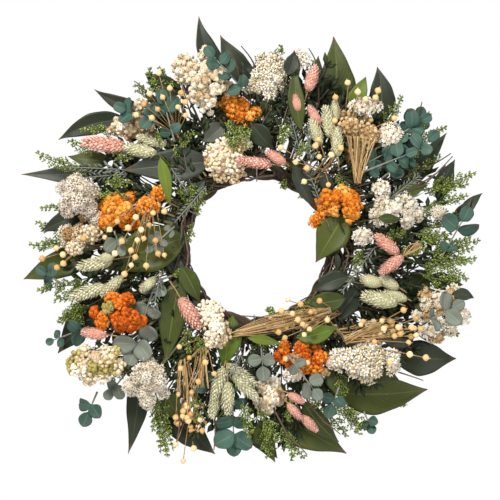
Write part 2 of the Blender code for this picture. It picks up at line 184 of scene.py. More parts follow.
def knob(radius, height, sides=6, rings=3, share=0.0):
    """A small closed dome-ended button about +Z."""
    points = [(0.0, 0.0, -0.35 * height)]
    for ring in range(rings):
        angle = math.pi * (0.25 + 0.65 * ring / rings)
        for side in range(sides):
            turn = math.tau * (side + 0.5 * (ring % 2)) / sides
            points.append((radius * math.sin(angle) * math.cos(turn), radius * math.sin(angle) * math.sin(turn),
                           height * (0.5 - 0.6 * math.cos(angle))))
    points.append((0.0, 0.0, height))
    tris = []
    for side in range(sides):
        after = (side + 1) % sides
        tris.append((0, 1 + after, 1 + side))
        for ring in range(rings - 1):
            low, high = 1 + ring * sides, 1 + (ring + 1) * sides
            tris.append((low + side, low + after, high + side))
            tris.append((low + after, high + after, high + side))
        last = 1 + (rings - 1) * sides
        tris.append((last + side, last + after, len(points) - 1))
    tint = np.zeros((len(points), 3))
    tint[:, 1] = share
    return Shape(points, tris, (), tint)


def tube(points, radii, sides=6):
    """A closed round tube through the points."""
    points = np.asarray(points, dtype=float)
    radii = np.broadcast_to(np.asarray(radii, dtype=float), (len(points),))
    along = np.gradient(points, axis=0)
    along /= np.maximum(1e-9, np.linalg.norm(along, axis=1))[:, None]
    side_way = np.cross(along, FRONT)
    weak = np.linalg.norm(side_way, axis=1) < 0.2
    side_way[weak] = np.cross(along[weak], (0.0, 0.0, 1.0))
    side_way /= np.maximum(1e-9, np.linalg.norm(side_way, axis=1))[:, None]
    other = np.cross(along, side_way)
    turn = math.tau * np.arange(sides) / sides
    ring = side_way[:, None, :] * np.cos(turn)[None, :, None] + other[:, None, :] * np.sin(turn)[None, :, None]
    body = points[:, None, :] + ring * radii[:, None, None]
    count = len(points)
    row, side = np.meshgrid(np.arange(count - 1), np.arange(sides), indexing="ij")
    after = (side + 1) % sides
    quads = np.stack((row * sides + side, row * sides + after, (row + 1) * sides + after,
                      (row + 1) * sides + side), axis=-1).reshape(-1, 4)
    first, last = count * sides, count * sides + 1
    index = np.arange(sides)
    following = (index + 1) % sides
    caps = np.vstack((np.column_stack((np.full(sides, first), following, index)),
                      np.column_stack((np.full(sides, last), (count - 1) * sides + index,
                                       (count - 1) * sides + following))))
    tint = np.zeros((count * sides + 2, 3))
    tint[:count * sides, 1] = np.repeat(np.linspace(0, 1, count), sides)
    tint[:count * sides, 2] = np.tile(index / sides, count)
    all_points = np.vstack((body.reshape(-1, 3), points[:1], points[-1:]))
    return Shape(all_points, caps, quads, tint)


def ring_tube(points, radii, sides):
    """A closed round tube whose last point meets its first."""
    points = np.asarray(points)
    count = len(points)
    along = np.roll(points, -1, axis=0) - np.roll(points, 1, axis=0)
    along /= np.linalg.norm(along, axis=1)[:, None]
    out = points - np.array((RING_X, RING_Y, RING_Z))
    out -= along * np.einsum("ij,ij->i", out, along)[:, None]
    out /= np.linalg.norm(out, axis=1)[:, None]
    other = np.cross(along, out)
    turn = math.tau * np.arange(sides) / sides
    ring = out[:, None, :] * np.cos(turn)[None, :, None] + other[:, None, :] * np.sin(turn)[None, :, None]
    body = points[:, None, :] + ring * radii[:, :, None]
    row, side = np.meshgrid(np.arange(count), np.arange(sides), indexing="ij")
    after = (side + 1) % sides
    below = (row + 1) % count
    quads = np.stack((row * sides + side, row * sides + after, below * sides + after, below * sides + side),
                     axis=-1).reshape(-1, 4)
    tint = np.zeros((count * sides, 3))
    tint[:, 1] = np.repeat(np.abs(np.linspace(-1, 1, count)), sides)
    tint[:, 2] = np.tile(np.abs(np.linspace(-1, 1, sides)), count)
    return Shape(body.reshape(-1, 3), (), quads, tint)


def outward(shape):
    """The shape with its faces pointing out, judged by its signed volume."""
    tris = [shape.tris]
    if len(shape.quads):
        tris += [shape.quads[:, (0, 1, 2)], shape.quads[:, (0, 2, 3)]]
    corners = shape.points[np.vstack(tris)] - shape.points.mean(axis=0)
    volume = np.einsum("ij,ij->", corners[:, 0], np.cross(corners[:, 1], corners[:, 2]))
    if volume < 0.0:
        return Shape(shape.points, shape.tris[:, ::-1], shape.quads[:, ::-1], shape.tint)
    return shape


def add_piece(name, shape, material, slot, replaces=(), body="root"):
    """A shown piece from a shape, riding on a body and standing for CAD nodes."""
    mesh = bpy.data.meshes.new(name)
    mesh.vertices.add(len(shape.points))
    mesh.vertices.foreach_set("co", shape.points.ravel())
    loops = np.concatenate((shape.tris.ravel(), shape.quads.ravel()))
    sizes = np.concatenate((np.full(len(shape.tris), 3), np.full(len(shape.quads), 4)))
    mesh.loops.add(len(loops))
    mesh.loops.foreach_set("vertex_index", loops)
    mesh.polygons.add(len(sizes))
    mesh.polygons.foreach_set("loop_start", np.concatenate(([0], np.cumsum(sizes)[:-1])))
    mesh.update(calc_edges=True)
    mesh.validate()
    tint = mesh.attributes.new("tint", "FLOAT_COLOR", "POINT")
    tint.data.foreach_set("color", np.column_stack((shape.tint, np.ones(len(shape.tint)))).ravel())
    mesh.shade_smooth()
    mesh.materials.append(material)
    obj = bpy.data.objects.new(name, mesh)
    bpy.context.scene.collection.objects.link(obj)
    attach(obj, body)
    if replaces:
        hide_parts(*replaces)
    return obj


# ---- reading the frame ---------------------------------------------------------------------

def node_points(node):
    mesh = frame["nodes"][node].data
    points = np.empty(3 * len(mesh.vertices))
    mesh.vertices.foreach_get("co", points)
    return points.reshape(-1, 3)


def flat_axes(points):
    """Centre and the long and short directions of a node seen from the front."""
    flat = points[:, (0, 2)]
    middle = flat.mean(axis=0)
    _, vectors = np.linalg.eigh(np.cov((flat - middle).T))
    long_way = np.array((vectors[0, 1], 0.0, vectors[1, 1]))
    short_way = np.cross(FRONT, long_way)
    return points.mean(axis=0), long_way, short_way


def ring_distance(point):
    return math.hypot(point[0] - RING_X, point[2] - RING_Z)


POINTS_INWARD = ("leaf_inner_right", "leaf_inner_lower_right")


class Site:
    """Where a node lies: its centre, its axes with the first one out from the hole, half sizes and ends."""

    def __init__(self, node):
        points = node_points(node)
        middle, self.along, self.across = flat_axes(points)
        goes_in = ring_distance(middle + self.along * 0.02) < ring_distance(middle)
        if goes_in != (node in POINTS_INWARD):
            self.along, self.across = -self.along, -self.across
        far = (points - middle) @ self.along
        wide = (points - middle) @ self.across
        deep = (points - middle) @ FRONT
        self.centre = middle + self.along * 0.5 * (far.max() + far.min())
        self.centre = self.centre + self.across * 0.5 * (wide.max() + wide.min())
        self.centre = self.centre + FRONT * 0.5 * (deep.max() + deep.min())
        self.half_long = 0.5 * (far.max() - far.min())
        self.half_wide = 0.5 * (wide.max() - wide.min())
        self.half_deep = 0.5 * (deep.max() - deep.min())
        margin = 0.16 * self.half_long
        self.start = points[far < far.min() + margin].mean(axis=0)
        self.end = points[far > far.max() - margin].mean(axis=0)


# ---- materials -----------------------------------------------------------------------------

class Nodes:
    """A small helper round one material's node tree."""

    def __init__(self, name, roughness, specular=0.3):
        self.material = bpy.data.materials.new(name)
        self.material.use_nodes = True
        self.tree = self.material.node_tree
        self.shader = self.tree.nodes["Principled BSDF"]
        self.shader.inputs["Roughness"].default_value = roughness
        self.shader.inputs["Specular IOR Level"].default_value = specular

    def add(self, kind, **values):
        node = self.tree.nodes.new(kind)
        for key, value in values.items():
            if hasattr(node, key):
                setattr(node, key, value)
            else:
                node.inputs[key.replace("_", " ")].default_value = value
        return node

    def link(self, out, into):
        self.tree.links.new(out, into)

    def tint(self):
        attribute = self.add("ShaderNodeAttribute", attribute_name="tint")
        split = self.add("ShaderNodeSeparateColor")
        self.link(attribute.outputs["Color"], split.inputs[0])
        return split.outputs

    def ramp(self, factor, stops, smooth=True):
        node = self.add("ShaderNodeValToRGB")
        node.color_ramp.interpolation = "EASE" if smooth else "LINEAR"
        elements = node.color_ramp.elements
        while len(elements) < len(stops):
            elements.new(0.5)
        for element, (place, colour) in zip(elements, stops):
            element.position = place
            element.color = (*colour, 1.0)
        self.link(factor, node.inputs["Fac"])
        return node.outputs["Color"]

    def mask(self, factor, low, high, first=0, last=1):
        """Black and white: the first level up to low, the last one from high."""
        return self.ramp(factor, ((low, (first,) * 3), (high, (last,) * 3)))

    def noise(self, scale, detail=4.0, roughness=0.55, stretch=None):
        place = self.add("ShaderNodeTexCoord").outputs["Object"]
        if stretch:
            mapping = self.add("ShaderNodeMapping")
            mapping.inputs["Scale"].default_value = stretch
            self.link(place, mapping.inputs["Vector"])
            place = mapping.outputs["Vector"]
        node = self.add("ShaderNodeTexNoise", Scale=scale, Detail=detail, Roughness=roughness)
        self.link(place, node.inputs["Vector"])
        return node.outputs["Fac"]

    def mix(self, factor, first, second, blend="MIX"):
        node = self.add("ShaderNodeMix", data_type="RGBA", blend_type=blend)
        for value, socket in ((factor, node.inputs[0]), (first, node.inputs[6]), (second, node.inputs[7])):
            if isinstance(value, (int, float)):
                socket.default_value = value
            elif isinstance(value, tuple):
                socket.default_value = (*value, 1.0)
            else:
                self.link(value, socket)
        return node.outputs[2]

    def math(self, operation, first, second=0.0):
        node = self.add("ShaderNodeMath", operation=operation)
        for value, socket in ((first, node.inputs[0]), (second, node.inputs[1])):
            if isinstance(value, (int, float)):
                socket.default_value = value
            else:
                self.link(value, socket)
        return node.outputs[0]

    def bump(self, height, strength, distance):
        node = self.add("ShaderNodeBump", Strength=strength, Distance=distance)
        self.link(height, node.inputs["Height"])
        self.link(node.outputs["Normal"], self.shader.inputs["Normal"])

    def rough(self, source, low, high):
        node = self.add("ShaderNodeMapRange")
        node.inputs["To Min"].default_value = low
        node.inputs["To Max"].default_value = high
        self.link(source, node.inputs["Value"])
        self.link(node.outputs["Result"], self.shader.inputs["Roughness"])

    def finish(self, colour):
        self.link(colour, self.shader.inputs["Base Color"])
        return self.material


def shade(colour, factor):
    return tuple(min(1.0, channel * factor) for channel in colour)


def leaf_material(name, colour, vein, second, gloss=0.42):
    """A waxed dry leaf: pale midrib, fine side veins, blotches, and a browner edge and tip."""
    n = Nodes(name, gloss, 0.26)
    tone, along, across = n.tint()[:3]
    side = n.math("ABSOLUTE", n.math("SUBTRACT", across, 0.5))
    blotch = n.noise(22.0, 5.0, 0.6)
    base = n.ramp(blotch, ((0.30, shade(colour, 0.62)), (0.52, colour), (0.72, second)))
    base = n.mix(n.math("MULTIPLY", tone, 0.45), base, shade(second, 1.15))
    lines = n.math("SUBTRACT", n.math("MULTIPLY", along, 15.0), n.math("MULTIPLY", side, 9.0))
    wave = n.math("SINE", n.math("MULTIPLY", lines, math.tau))
    side_vein = n.mask(wave, 0.86, 0.99)
    midrib = n.mask(side, 0.010, 0.034, 1, 0)
    base = n.mix(n.math("MULTIPLY", side_vein, 0.30), base, vein)
    base = n.mix(n.math("MULTIPLY", midrib, 0.75), base, vein)
    edge = n.mask(side, 0.40, 0.50)
    base = n.mix(n.math("MULTIPLY", edge, 0.35), base, shade(colour, 0.55))
    base = n.mix(n.mask(along, 0.86, 1.0), base, (0.10, 0.065, 0.035))
    n.rough(blotch, gloss - 0.10, gloss + 0.16)
    height = n.math("ADD", n.math("MULTIPLY", side_vein, -0.4), n.math("MULTIPLY", midrib, -1.0))
    n.bump(n.math("ADD", height, n.math("MULTIPLY", n.noise(420.0, 2.0), 0.5)), 0.35, 0.0006)
    return n.finish(base)


def petal_material(name, dark, middle, light, deep, rough=0.8):
    """Dry petals: a tone for each floret, paler tips, and the deep colour down at the base of each petal, which is
    painted shade between the petals.
    """
    n = Nodes(name, rough, 0.2)
    tone, along = n.tint()[:2]
    mixed = n.math("ADD", n.math("MULTIPLY", tone, 0.62), n.math("MULTIPLY", n.noise(60.0, 3.0), 0.42))
    base = n.ramp(mixed, ((0.18, dark), (0.50, middle), (0.84, light)))
    # painted shade: up to 0.42 of the way along, each petal goes over to the deep colour
    base = n.mix(n.mask(along, 0.0, 0.42, 1, 0), base, deep)
    base = n.mix(n.mask(n.noise(900.0, 2.0), 0.55, 0.80, 0, 0.35), base, shade(dark, 0.8))
    n.rough(mixed, rough - 0.08, rough + 0.1)
    n.bump(n.noise(1400.0, 3.0), 0.5, 0.0003)
    return n.finish(base)


def stalk_material(name, dark, light, rough=0.75, scale=300.0):
    """Dry stalk or bark: streaks and specks."""
    n = Nodes(name, rough, 0.22)
    tone = n.tint()[0]
    streak = n.noise(scale, 6.0, 0.65)
    mixed = n.math("ADD", n.math("MULTIPLY", streak, 0.75), n.math("MULTIPLY", tone, 0.3))
    base = n.ramp(mixed, ((0.28, shade(dark, 0.6)), (0.48, dark), (0.72, light)))
    n.rough(streak, rough - 0.1, rough + 0.12)
    n.bump(streak, 0.7, 0.0008)
    return n.finish(base)


def metal_material(name, colour):
    n = Nodes(name, 0.42, 0.5)
    n.shader.inputs["Metallic"].default_value = 1.0
    grain = n.noise(900.0, 4.0)
    n.rough(grain, 0.32, 0.58)
    n.bump(grain, 0.2, 0.0002)
    return n.finish(n.ramp(grain, ((0.3, shade(colour, 0.6)), (0.7, colour))))


LEAF_DARK = leaf_material("leaf_dark", (0.016, 0.023, 0.013), (0.060, 0.072, 0.040), (0.030, 0.040, 0.022))
LEAF_OLIVE = leaf_material("leaf_olive", (0.033, 0.050, 0.008), (0.115, 0.135, 0.035), (0.075, 0.088, 0.012))
LEAF_BRIGHT = leaf_material("leaf_bright", (0.065, 0.110, 0.008), (0.17, 0.21, 0.05), (0.130, 0.170, 0.016))
LEAF_GREY = leaf_material("leaf_grey", (0.038, 0.046, 0.036), (0.12, 0.13, 0.10), (0.070, 0.080, 0.062))
EUCALYPTUS = leaf_material("eucalyptus", (0.030, 0.075, 0.056), (0.12, 0.19, 0.15), (0.070, 0.140, 0.110), 0.55)
SILVER_LEAF = leaf_material("silver_leaf", (0.130, 0.155, 0.125), (0.27, 0.29, 0.24), (0.225, 0.255, 0.215), 0.6)
FILL_LEAF = leaf_material("fill_leaf", (0.016, 0.026, 0.010), (0.05, 0.07, 0.03), (0.034, 0.052, 0.018), 0.6)
# the fourth colour of each petal look is its deep colour: painted shade at the base of every petal
ORANGE = petal_material("orange", (0.60, 0.16, 0.012), (0.85, 0.29, 0.030), (0.96, 0.50, 0.12), (0.30, 0.06, 0.006))
RUST = petal_material("rust", (0.42, 0.075, 0.006), (0.76, 0.17, 0.014), (0.90, 0.32, 0.04), (0.16, 0.035, 0.006))
CREAM = petal_material("cream", (0.58, 0.43, 0.26), (0.80, 0.69, 0.51), (0.92, 0.86, 0.73), (0.36, 0.25, 0.12))
WHITE = petal_material("white", (0.70, 0.62, 0.48), (0.86, 0.80, 0.69), (0.95, 0.92, 0.85), (0.50, 0.40, 0.25))
ASH = petal_material("ash", (0.62, 0.53, 0.42), (0.82, 0.74, 0.63), (0.92, 0.88, 0.80), (0.42, 0.33, 0.24))
FADED_TAN = petal_material("faded_tan", (0.40, 0.24, 0.10), (0.62, 0.43, 0.22), (0.78, 0.62, 0.40), (0.20, 0.11, 0.04))
FADED_OLIVE = petal_material("faded_olive", (0.20, 0.17, 0.04), (0.36, 0.30, 0.08), (0.54, 0.45, 0.18),
                             (0.10, 0.08, 0.02))
STAR_EYE = petal_material("star_eye", (0.44, 0.33, 0.10), (0.56, 0.43, 0.16), (0.68, 0.55, 0.26), (0.34, 0.24, 0.07))
FLAX = petal_material("flax", (0.58, 0.34, 0.12), (0.78, 0.53, 0.25), (0.90, 0.70, 0.42), (0.40, 0.21, 0.07), 0.6)
GRASS_GREEN = petal_material("grass_green", (0.46, 0.45, 0.27), (0.64, 0.62, 0.43), (0.80, 0.78, 0.61),
                             (0.38, 0.38, 0.20))
GRASS_PINK = petal_material("grass_pink", (0.62, 0.30, 0.22), (0.78, 0.44, 0.36), (0.86, 0.60, 0.52),
                            (0.48, 0.24, 0.17))
GREENS = petal_material("greens", (0.16, 0.25, 0.035), (0.29, 0.40, 0.075), (0.46, 0.56, 0.16), (0.14, 0.19, 0.04))
# a darker copy of the greens: painted shade for the greens set deep in the bed and round the hole
SHADED_GREENS = petal_material("dark_greens", (0.045, 0.085, 0.018), (0.085, 0.145, 0.032), (0.15, 0.22, 0.055),
                             (0.03, 0.045, 0.014))
BARK = stalk_material("bark", (0.060, 0.040, 0.028), (0.150, 0.110, 0.082))
TWIG = stalk_material("twig", (0.095, 0.065, 0.045), (0.22, 0.165, 0.12), 0.7, 700.0)
STRAW = stalk_material("straw", (0.46, 0.30, 0.13), (0.66, 0.48, 0.26), 0.6, 700.0)
GREEN_STALK = stalk_material("green_stalk", (0.16, 0.17, 0.08), (0.30, 0.31, 0.17), 0.6, 700.0)
SILVER_STALK = stalk_material("silver_stalk", (0.26, 0.27, 0.23), (0.42, 0.43, 0.38), 0.6, 700.0)
WIRE = metal_material("wire", (0.42, 0.42, 0.43))


# ---- leaves --------------------------------------------------------------------------------

def leaf_half_width(share):
    """The outline of a leaf: a short stalk, a belly and a drawn-out tip."""
    blade_share = np.clip((share - 0.06) / 0.94, 0.0, 1.0)
    belly = np.maximum(0.0, np.sin(math.pi * blade_share ** 0.80)) ** 0.92
    return np.maximum(0.020, belly * (1.04 - 0.42 * blade_share ** 3))


def leaf_shape(length, width, arch, cup, curl, seed, sway=0.0):
    """A leaf along +X with its upper face to +Z: arched, cupped, wavy at the edge, curled at the tip."""
    phase = seed * 1.7

    def half(share):
        wave = 1.0 + 0.035 * np.sin(9.0 * share + phase) + 0.02 * np.sin(23.0 * share + 2.0 * phase)
        return 0.5 * width * leaf_half_width(share) * wave

    def lift(share, across):
        body = arch * np.sin(math.pi * share) + cup * half(share) * across ** 2
        ripple = 0.05 * width * across * np.abs(across) * np.sin(7.0 * share + phase)
        groove = -0.0005 * np.exp(-(across / 0.09) ** 2)
        veins = 0.00016 * np.cos(math.tau * (15.0 * share - 4.5 * np.abs(across)))
        tip = curl * np.clip((share - 0.75) / 0.25, 0.0, 1.0) ** 2
        return body + ripple * np.sin(math.pi * share) + groove + veins * np.sin(math.pi * share) + tip

    return blade(26, 8, length, half, lift, 0.0006, sway)


LEAF_LOOKS = {"leaf_dark": LEAF_DARK, "leaf_olive": LEAF_OLIVE, "leaf_bright": LEAF_BRIGHT, "leaf_grey": LEAF_GREY}
SLOT_OF = {entry["node"]: entry["material_slot"] for entry in frame["record"]["subparts"]}
# a further sideways sway in mm and a factor on the width, for leaves that bow more than their frame node
LEAF_TWEAKS = {
    "leaf_top_left": (9, 0.80), "leaf_top_centre": (6, 0.80), "leaf_left_crescent": (-7, 1.0),
    "leaf_left_upper": (5, 0.80), "leaf_top_right": (-4, 1.0), "leaf_right_shoulder": (-4, 1.0),
    "leaf_lower_right": (-3, 1.15), "leaf_right_curled": (-3, 1.1), "leaf_lower_left_long": (6, 1.0),
}


def ring_root(point, forward):
    """The nearest place on the ring where a stalk from that point is bound."""
    away = unit((point[0] - RING_X, 0.0, point[2] - RING_Z))
    distance = RING_RADIUS + 0.006
    return np.array((RING_X + away[0] * distance, DOOR_Y - forward, RING_Z + away[2] * distance))


def bent_line(start, end, sag, count=7):
    """A gently bent line from start to end."""
    share = np.linspace(0.0, 1.0, count)[:, None]
    line = np.asarray(start) * (1.0 - share) + np.asarray(end) * share
    return line + np.asarray(sag) * np.sin(math.pi * share)


def stalk_to_ring(point, radius, forward=0.046):
    """A stalk from a piece's foot back to the ring."""
    return tube(bent_line(ring_root(point, forward), point, (0.0, 0.002, 0.0)), radius)


def make_leaves():
    """Each leaf of the frame, with its stalk running in to the ring."""
    for index, node in enumerate(name for name in frame["nodes"] if name.startswith("leaf_")):
        site = Site(node)
        slot = SLOT_OF[node]
        way = unit(site.end - site.start)
        start = site.start - way * 0.04 * 2.0 * site.half_long
        length = 1.08 * np.linalg.norm(site.end - site.start)
        axes = axes_along(way, FRONT)
        points = node_points(node)
        share = (points - start) @ way / length
        bow = ((points[np.abs(share - 0.5) < 0.12] - start) @ axes[:, 1]).mean()
        curl = 0.004 * math.sin(2.1 * index)
        more_sway, wider = LEAF_TWEAKS.get(node, (0, 1.0))
        leaf = leaf_shape(length, 2.0 * site.half_wide * wider, 1.2 * site.half_deep, 0.16, curl, index,
                          bow + more_sway * MM)
        shapes = [moved(leaf, start, axes, tone=0.5 + 0.5 * math.sin(index * 2.4))]
        if ring_distance(start) > RING_RADIUS + 0.02:
            shapes.append(moved(stalk_to_ring(start, 0.0009, 0.030), tone=0.4))
        add_piece(f"look_{node}", join(shapes), LEAF_LOOKS[slot], slot, [node])


# x z of the tip, x z of the foot, width, how far forward, look: leaves too many for the frame
MORE_LEAVES = (
    ((-266, 20), (-205, 48), 25, 30, LEAF_DARK), ((-138, 214), (-92, 188), 27, 28, LEAF_DARK),
    ((44, 237), (35, 206), 19, 66, LEAF_DARK), ((45, 223), (53, 137), 19, 62, LEAF_OLIVE),
    ((133, 210), (114, 165), 22, 34, LEAF_BRIGHT), ((72, 46), (42, 104), 17, 52, LEAF_DARK),
    ((243, 109), (220, 55), 23, 26, LEAF_DARK), ((262, 62), (236, 28), 15, 34, LEAF_DARK),
    ((206, 77), (164, 66), 19, 46, LEAF_OLIVE), ((57, -64), (108, -60), 26, 56, LEAF_OLIVE),
    ((66, -53), (112, -34), 22, 58, LEAF_DARK), ((-105, 49), (-118, 112), 15, 64, LEAF_BRIGHT),
    ((-70, -66), (-94, -20), 24, 52, LEAF_OLIVE), ((98, -94), (44, -108), 22, 60, LEAF_BRIGHT),
    ((30, -116), (-14, -108), 12, 62, LEAF_BRIGHT), ((24, -258), (-12, -212), 28, 26, LEAF_DARK),
    ((100, -238), (54, -184), 27, 30, LEAF_OLIVE), ((262, -60), (232, -56), 15, 60, LEAF_DARK),
    ((20, 120), (-8, 152), 25, 50, LEAF_DARK), ((172, 34), (142, 36), 12, 78, LEAF_OLIVE),
    ((-66, 128), (-40, 152), 26, 48, LEAF_GREY), ((138, 92), (166, 118), 22, 44, LEAF_DARK),
    ((-180, -98), (-140, -84), 30, 40, LEAF_DARK), ((124, 26), (92, 74), 26, 50, LEAF_DARK),
    ((-90, -215), (-112, -168), 24, 34, LEAF_OLIVE), ((172, -160), (128, -150), 26, 42, LEAF_OLIVE),
    ((-20, 226), (8, 190), 24, 34, LEAF_DARK), ((196, -104), (150, -112), 30, 38, LEAF_DARK),
    ((-232, 112), (-176, 108), 22, 34, LEAF_OLIVE), ((74, 236), (66, 176), 22, 32, LEAF_DARK),
    ((252, -46), (206, -34), 22, 34, LEAF_DARK), ((276, 68), (246, 32), 15, 30, LEAF_DARK),
    ((22, -262), (4, -206), 26, 30, LEAF_OLIVE), ((104, -188), (86, -140), 26, 44, LEAF_OLIVE),
)


def slot_for(look):
    """A look's slot is its material's name, without the number Blender adds to a name in use."""
    return look.name.split(".")[0]


def make_more_leaves():
    """The leaves that the frame has no node for, in one piece for each look."""
    groups = {}
    for index, (tip, foot, width, forward, look) in enumerate(MORE_LEAVES):
        start, end = spot(*foot, forward), spot(*tip, forward - 3)
        length = np.linalg.norm(end - start)
        leaf = leaf_shape(length, width * MM, 0.07 * length, 0.2, 0.004 * math.sin(index), index + 40,
                          0.06 * length * math.sin(2.3 * index))
        roll = 0.25 * math.sin(3.1 * index)
        normal = FRONT + roll * np.cross(FRONT, unit(end - start))
        groups.setdefault(look, []).append(
            moved(leaf, start, axes_along(end - start, normal), tone=0.5 + 0.5 * math.sin(index * 1.9)))
        if ring_distance(start) > RING_RADIUS + 0.03:
            groups[look].append(stalk_to_ring(start, 0.0008, 0.034))
    for look, shapes in groups.items():
        add_piece(f"more_{slot_for(look)}", join(shapes), look, slot_for(look))


# ---- flower clusters -----------------------------------------------------------------------

def rosette(petals, rings, width, curl, heart, seed):
    """A small flower of radius 1 facing +Z: rings of petals, the outer ones flatter, round a heart."""
    rng = np.random.default_rng(seed)
    shapes = []
    for ring in range(rings):
        lean = math.radians(16 + 50 * ring)
        one = petal(1.0 - 0.25 * ring, width, 0.10 * width, curl)
        for index in range(petals):
            turn = math.tau * (index + 0.5 * ring) / petals + rng.normal(0, 0.10)
            tilt = lean + rng.normal(0, 0.14)
            flat = np.array((math.cos(turn), math.sin(turn), 0.0))
            along = flat * math.cos(tilt) + np.array((0, 0, 1.0)) * math.sin(tilt)
            normal = -flat * math.sin(tilt) + np.array((0, 0, 1.0)) * math.cos(tilt)
            shapes.append(moved(one, (0, 0, 0), axes_along(along, normal)))
    if heart:
        shapes.append(knob(heart, heart * 1.3, 5, 2, 0.8))
    return join(shapes)


def ruffle(petals, seed):
    """A small ruffled flower of radius 1 facing +Z: a closed dome whose edge runs in and out."""
    rng = np.random.default_rng(seed)
    sides = 2 * petals
    turn = math.tau * np.arange(sides) / sides
    tip = np.arange(sides) % 2 == 0
    points, share = [(0.0, 0.0, -0.5)], [0.0]
    for out_tip, out_notch, up_tip, up_notch, light in ((1.0, 0.52, 0.15, -0.25, 1.0), (0.62, 0.30, 0.62, 0.22, 0.9)):
        out = np.where(tip, out_tip, out_notch) * (1.0 + rng.normal(0, 0.10, sides))
        up = np.where(tip, up_tip, up_notch) + rng.normal(0, 0.08, sides)
        points += list(zip(out * np.cos(turn), out * np.sin(turn), up))
        # the notches and the underside take a low share, so the petal look paints shade there
        share += list(np.where(tip, light, 0.25 * light))
    points.append((0.0, 0.0, 0.62))
    share.append(0.85)
    tris = []
    for side in range(sides):
        after = (side + 1) % sides
        tris.append((0, 1 + after, 1 + side))
        tris.append((1 + side, 1 + after, 1 + sides + side))
        tris.append((1 + after, 1 + sides + after, 1 + sides + side))
        tris.append((1 + sides + side, 1 + sides + after, len(points) - 1))
    tint = np.zeros((len(points), 3))
    tint[:, 1] = share
    return Shape(points, tris, (), tint)


def crumple(seed):
    """A small crumpled ball of petals, of radius 1, facing +Z."""
    ball = knob(0.9, 1.3, 6, 3, 0.8)
    rng = np.random.default_rng(seed)
    ball.points *= (1.0 + rng.normal(0.0, 0.16, len(ball.points)))[:, None]
    # painted shade: the lower side of the ball takes a low share, and so the deep colour
    ball.tint[:, 1] = np.clip(0.30 + 0.6 * ball.points[:, 2], 0.0, 1.0)
    return ball


def dome_spots(count, squeeze=1.0):
    """Evenly spread directions over a dome about +Z, from its top to about its edge."""
    index = np.arange(count) + 0.5
    height = 1.0 - squeeze * index / count
    out = np.sqrt(np.maximum(0.0, 1.0 - height ** 2))
    return np.column_stack((out * np.cos(GOLDEN * index), out * np.sin(GOLDEN * index), height))


def clump_cluster(site, florets, clumps, clump_size, per_clump, size, seed, eye=None, bits=0.0):
    """A cluster as uneven clumps of florets over the node's dome, with stalks that meet behind.

    Returns the florets, their eyes, the stalks, and the florets of the clumps that are of another colour."""
    rng = np.random.default_rng(seed)
    index = np.arange(clumps) + 0.5
    out = np.clip(np.sqrt(index / clumps) + rng.normal(0, 0.05, clumps), 0.0, 1.06)
    turn = GOLDEN * index + rng.normal(0, 0.22, clumps)
    right, up = np.cos(turn) * out, np.sin(turn) * out
    reach_long = max(0.002, site.half_long - clump_size * 0.88)
    reach_wide = max(0.002, site.half_wide - clump_size * 0.88)
    shapes, eyes, stalks, others = [], [], [], []
    foot = site.centre - FRONT * (site.half_deep + 0.004)
    foot = foot + 0.25 * (ring_root(site.centre, 0.04) - foot) * np.array((1, 0, 1))
    directions = dome_spots(per_clump, 0.92)
    for i in range(clumps):
        bulge = math.sqrt(max(0.0, 1.0 - 0.70 * min(1.0, out[i]) ** 2))
        radius = clump_size * rng.uniform(0.66, 1.12)
        centre = (site.centre + site.along * reach_long * right[i] + site.across * reach_wide * up[i]
                  + FRONT * (site.half_deep * (2.0 * bulge - 1.0) - radius * 0.9 - abs(rng.normal(0, 0.0036))))
        lean = FRONT + 0.85 * (site.along * right[i] + site.across * up[i]) + rng.normal(0, 0.12, 3)
        local = axes_facing(lean, rng.uniform(*ANY_TURN))
        count = max(4, int(per_clump * min(1.0, (radius / clump_size) ** 1.2)))
        ways = directions[:count] @ local.T + rng.normal(0, 0.09, (count, 3))
        origins = centre + ways * radius * rng.uniform(0.82, 1.08, (count, 1))
        axes = [axes_facing(way, rng.uniform(*ANY_TURN)) for way in ways]
        scales = size * rng.uniform(0.70, 1.15, count)
        tones = np.clip(rng.uniform(0.05, 0.95) + rng.normal(0, 0.16, count), 0, 1)
        # a solid core under each clump's florets; its share of 0.22 gives it about half of the deep colour, painted
        # shade in the gaps
        made = [scattered(florets[i % len(florets)], origins, axes, scales, tones),
                moved(knob(0.86 * radius, 0.9 * radius, 8, 3, 0.22), centre, local, 1.0, tones[0])]
        if rng.uniform() < bits:
            others += made
        else:
            shapes += made
        if eye is not None:
            eyes.append(scattered(eye, origins, axes, scales, tones))
        stalks.append(tube(bent_line(foot, centre, (0, 0.002, 0), 4), 0.0008, 5))
    stalks.append(stalk_to_ring(foot, 0.0020))
    return shapes, eyes, stalks, others


def button_florets():
    return [ruffle(6, seed) for seed in (1, 2, 3, 4)]


def bud_florets():
    return [join([ruffle(6, seed), moved(ruffle(5, seed + 1), (0, 0, 0.35), axes_facing((0, 0, 1), 0.6), 0.72)])
            for seed in (5, 6, 7)]


def white_florets():
    return [rosette(6, 1, 0.80, 0.45, 0.34, seed) for seed in (18, 19, 20)]


def yarrow_florets():
    return [crumple(seed) for seed in (8, 9, 10, 11)]


def ash_florets():
    return [rosette(6, 1, 0.60, 0.50, 0.0, seed) for seed in (12, 13, 14)]


def star_florets():
    return [rosette(6, 1, 0.56, 0.16, 0.0, seed) for seed in (15, 16, 17)]


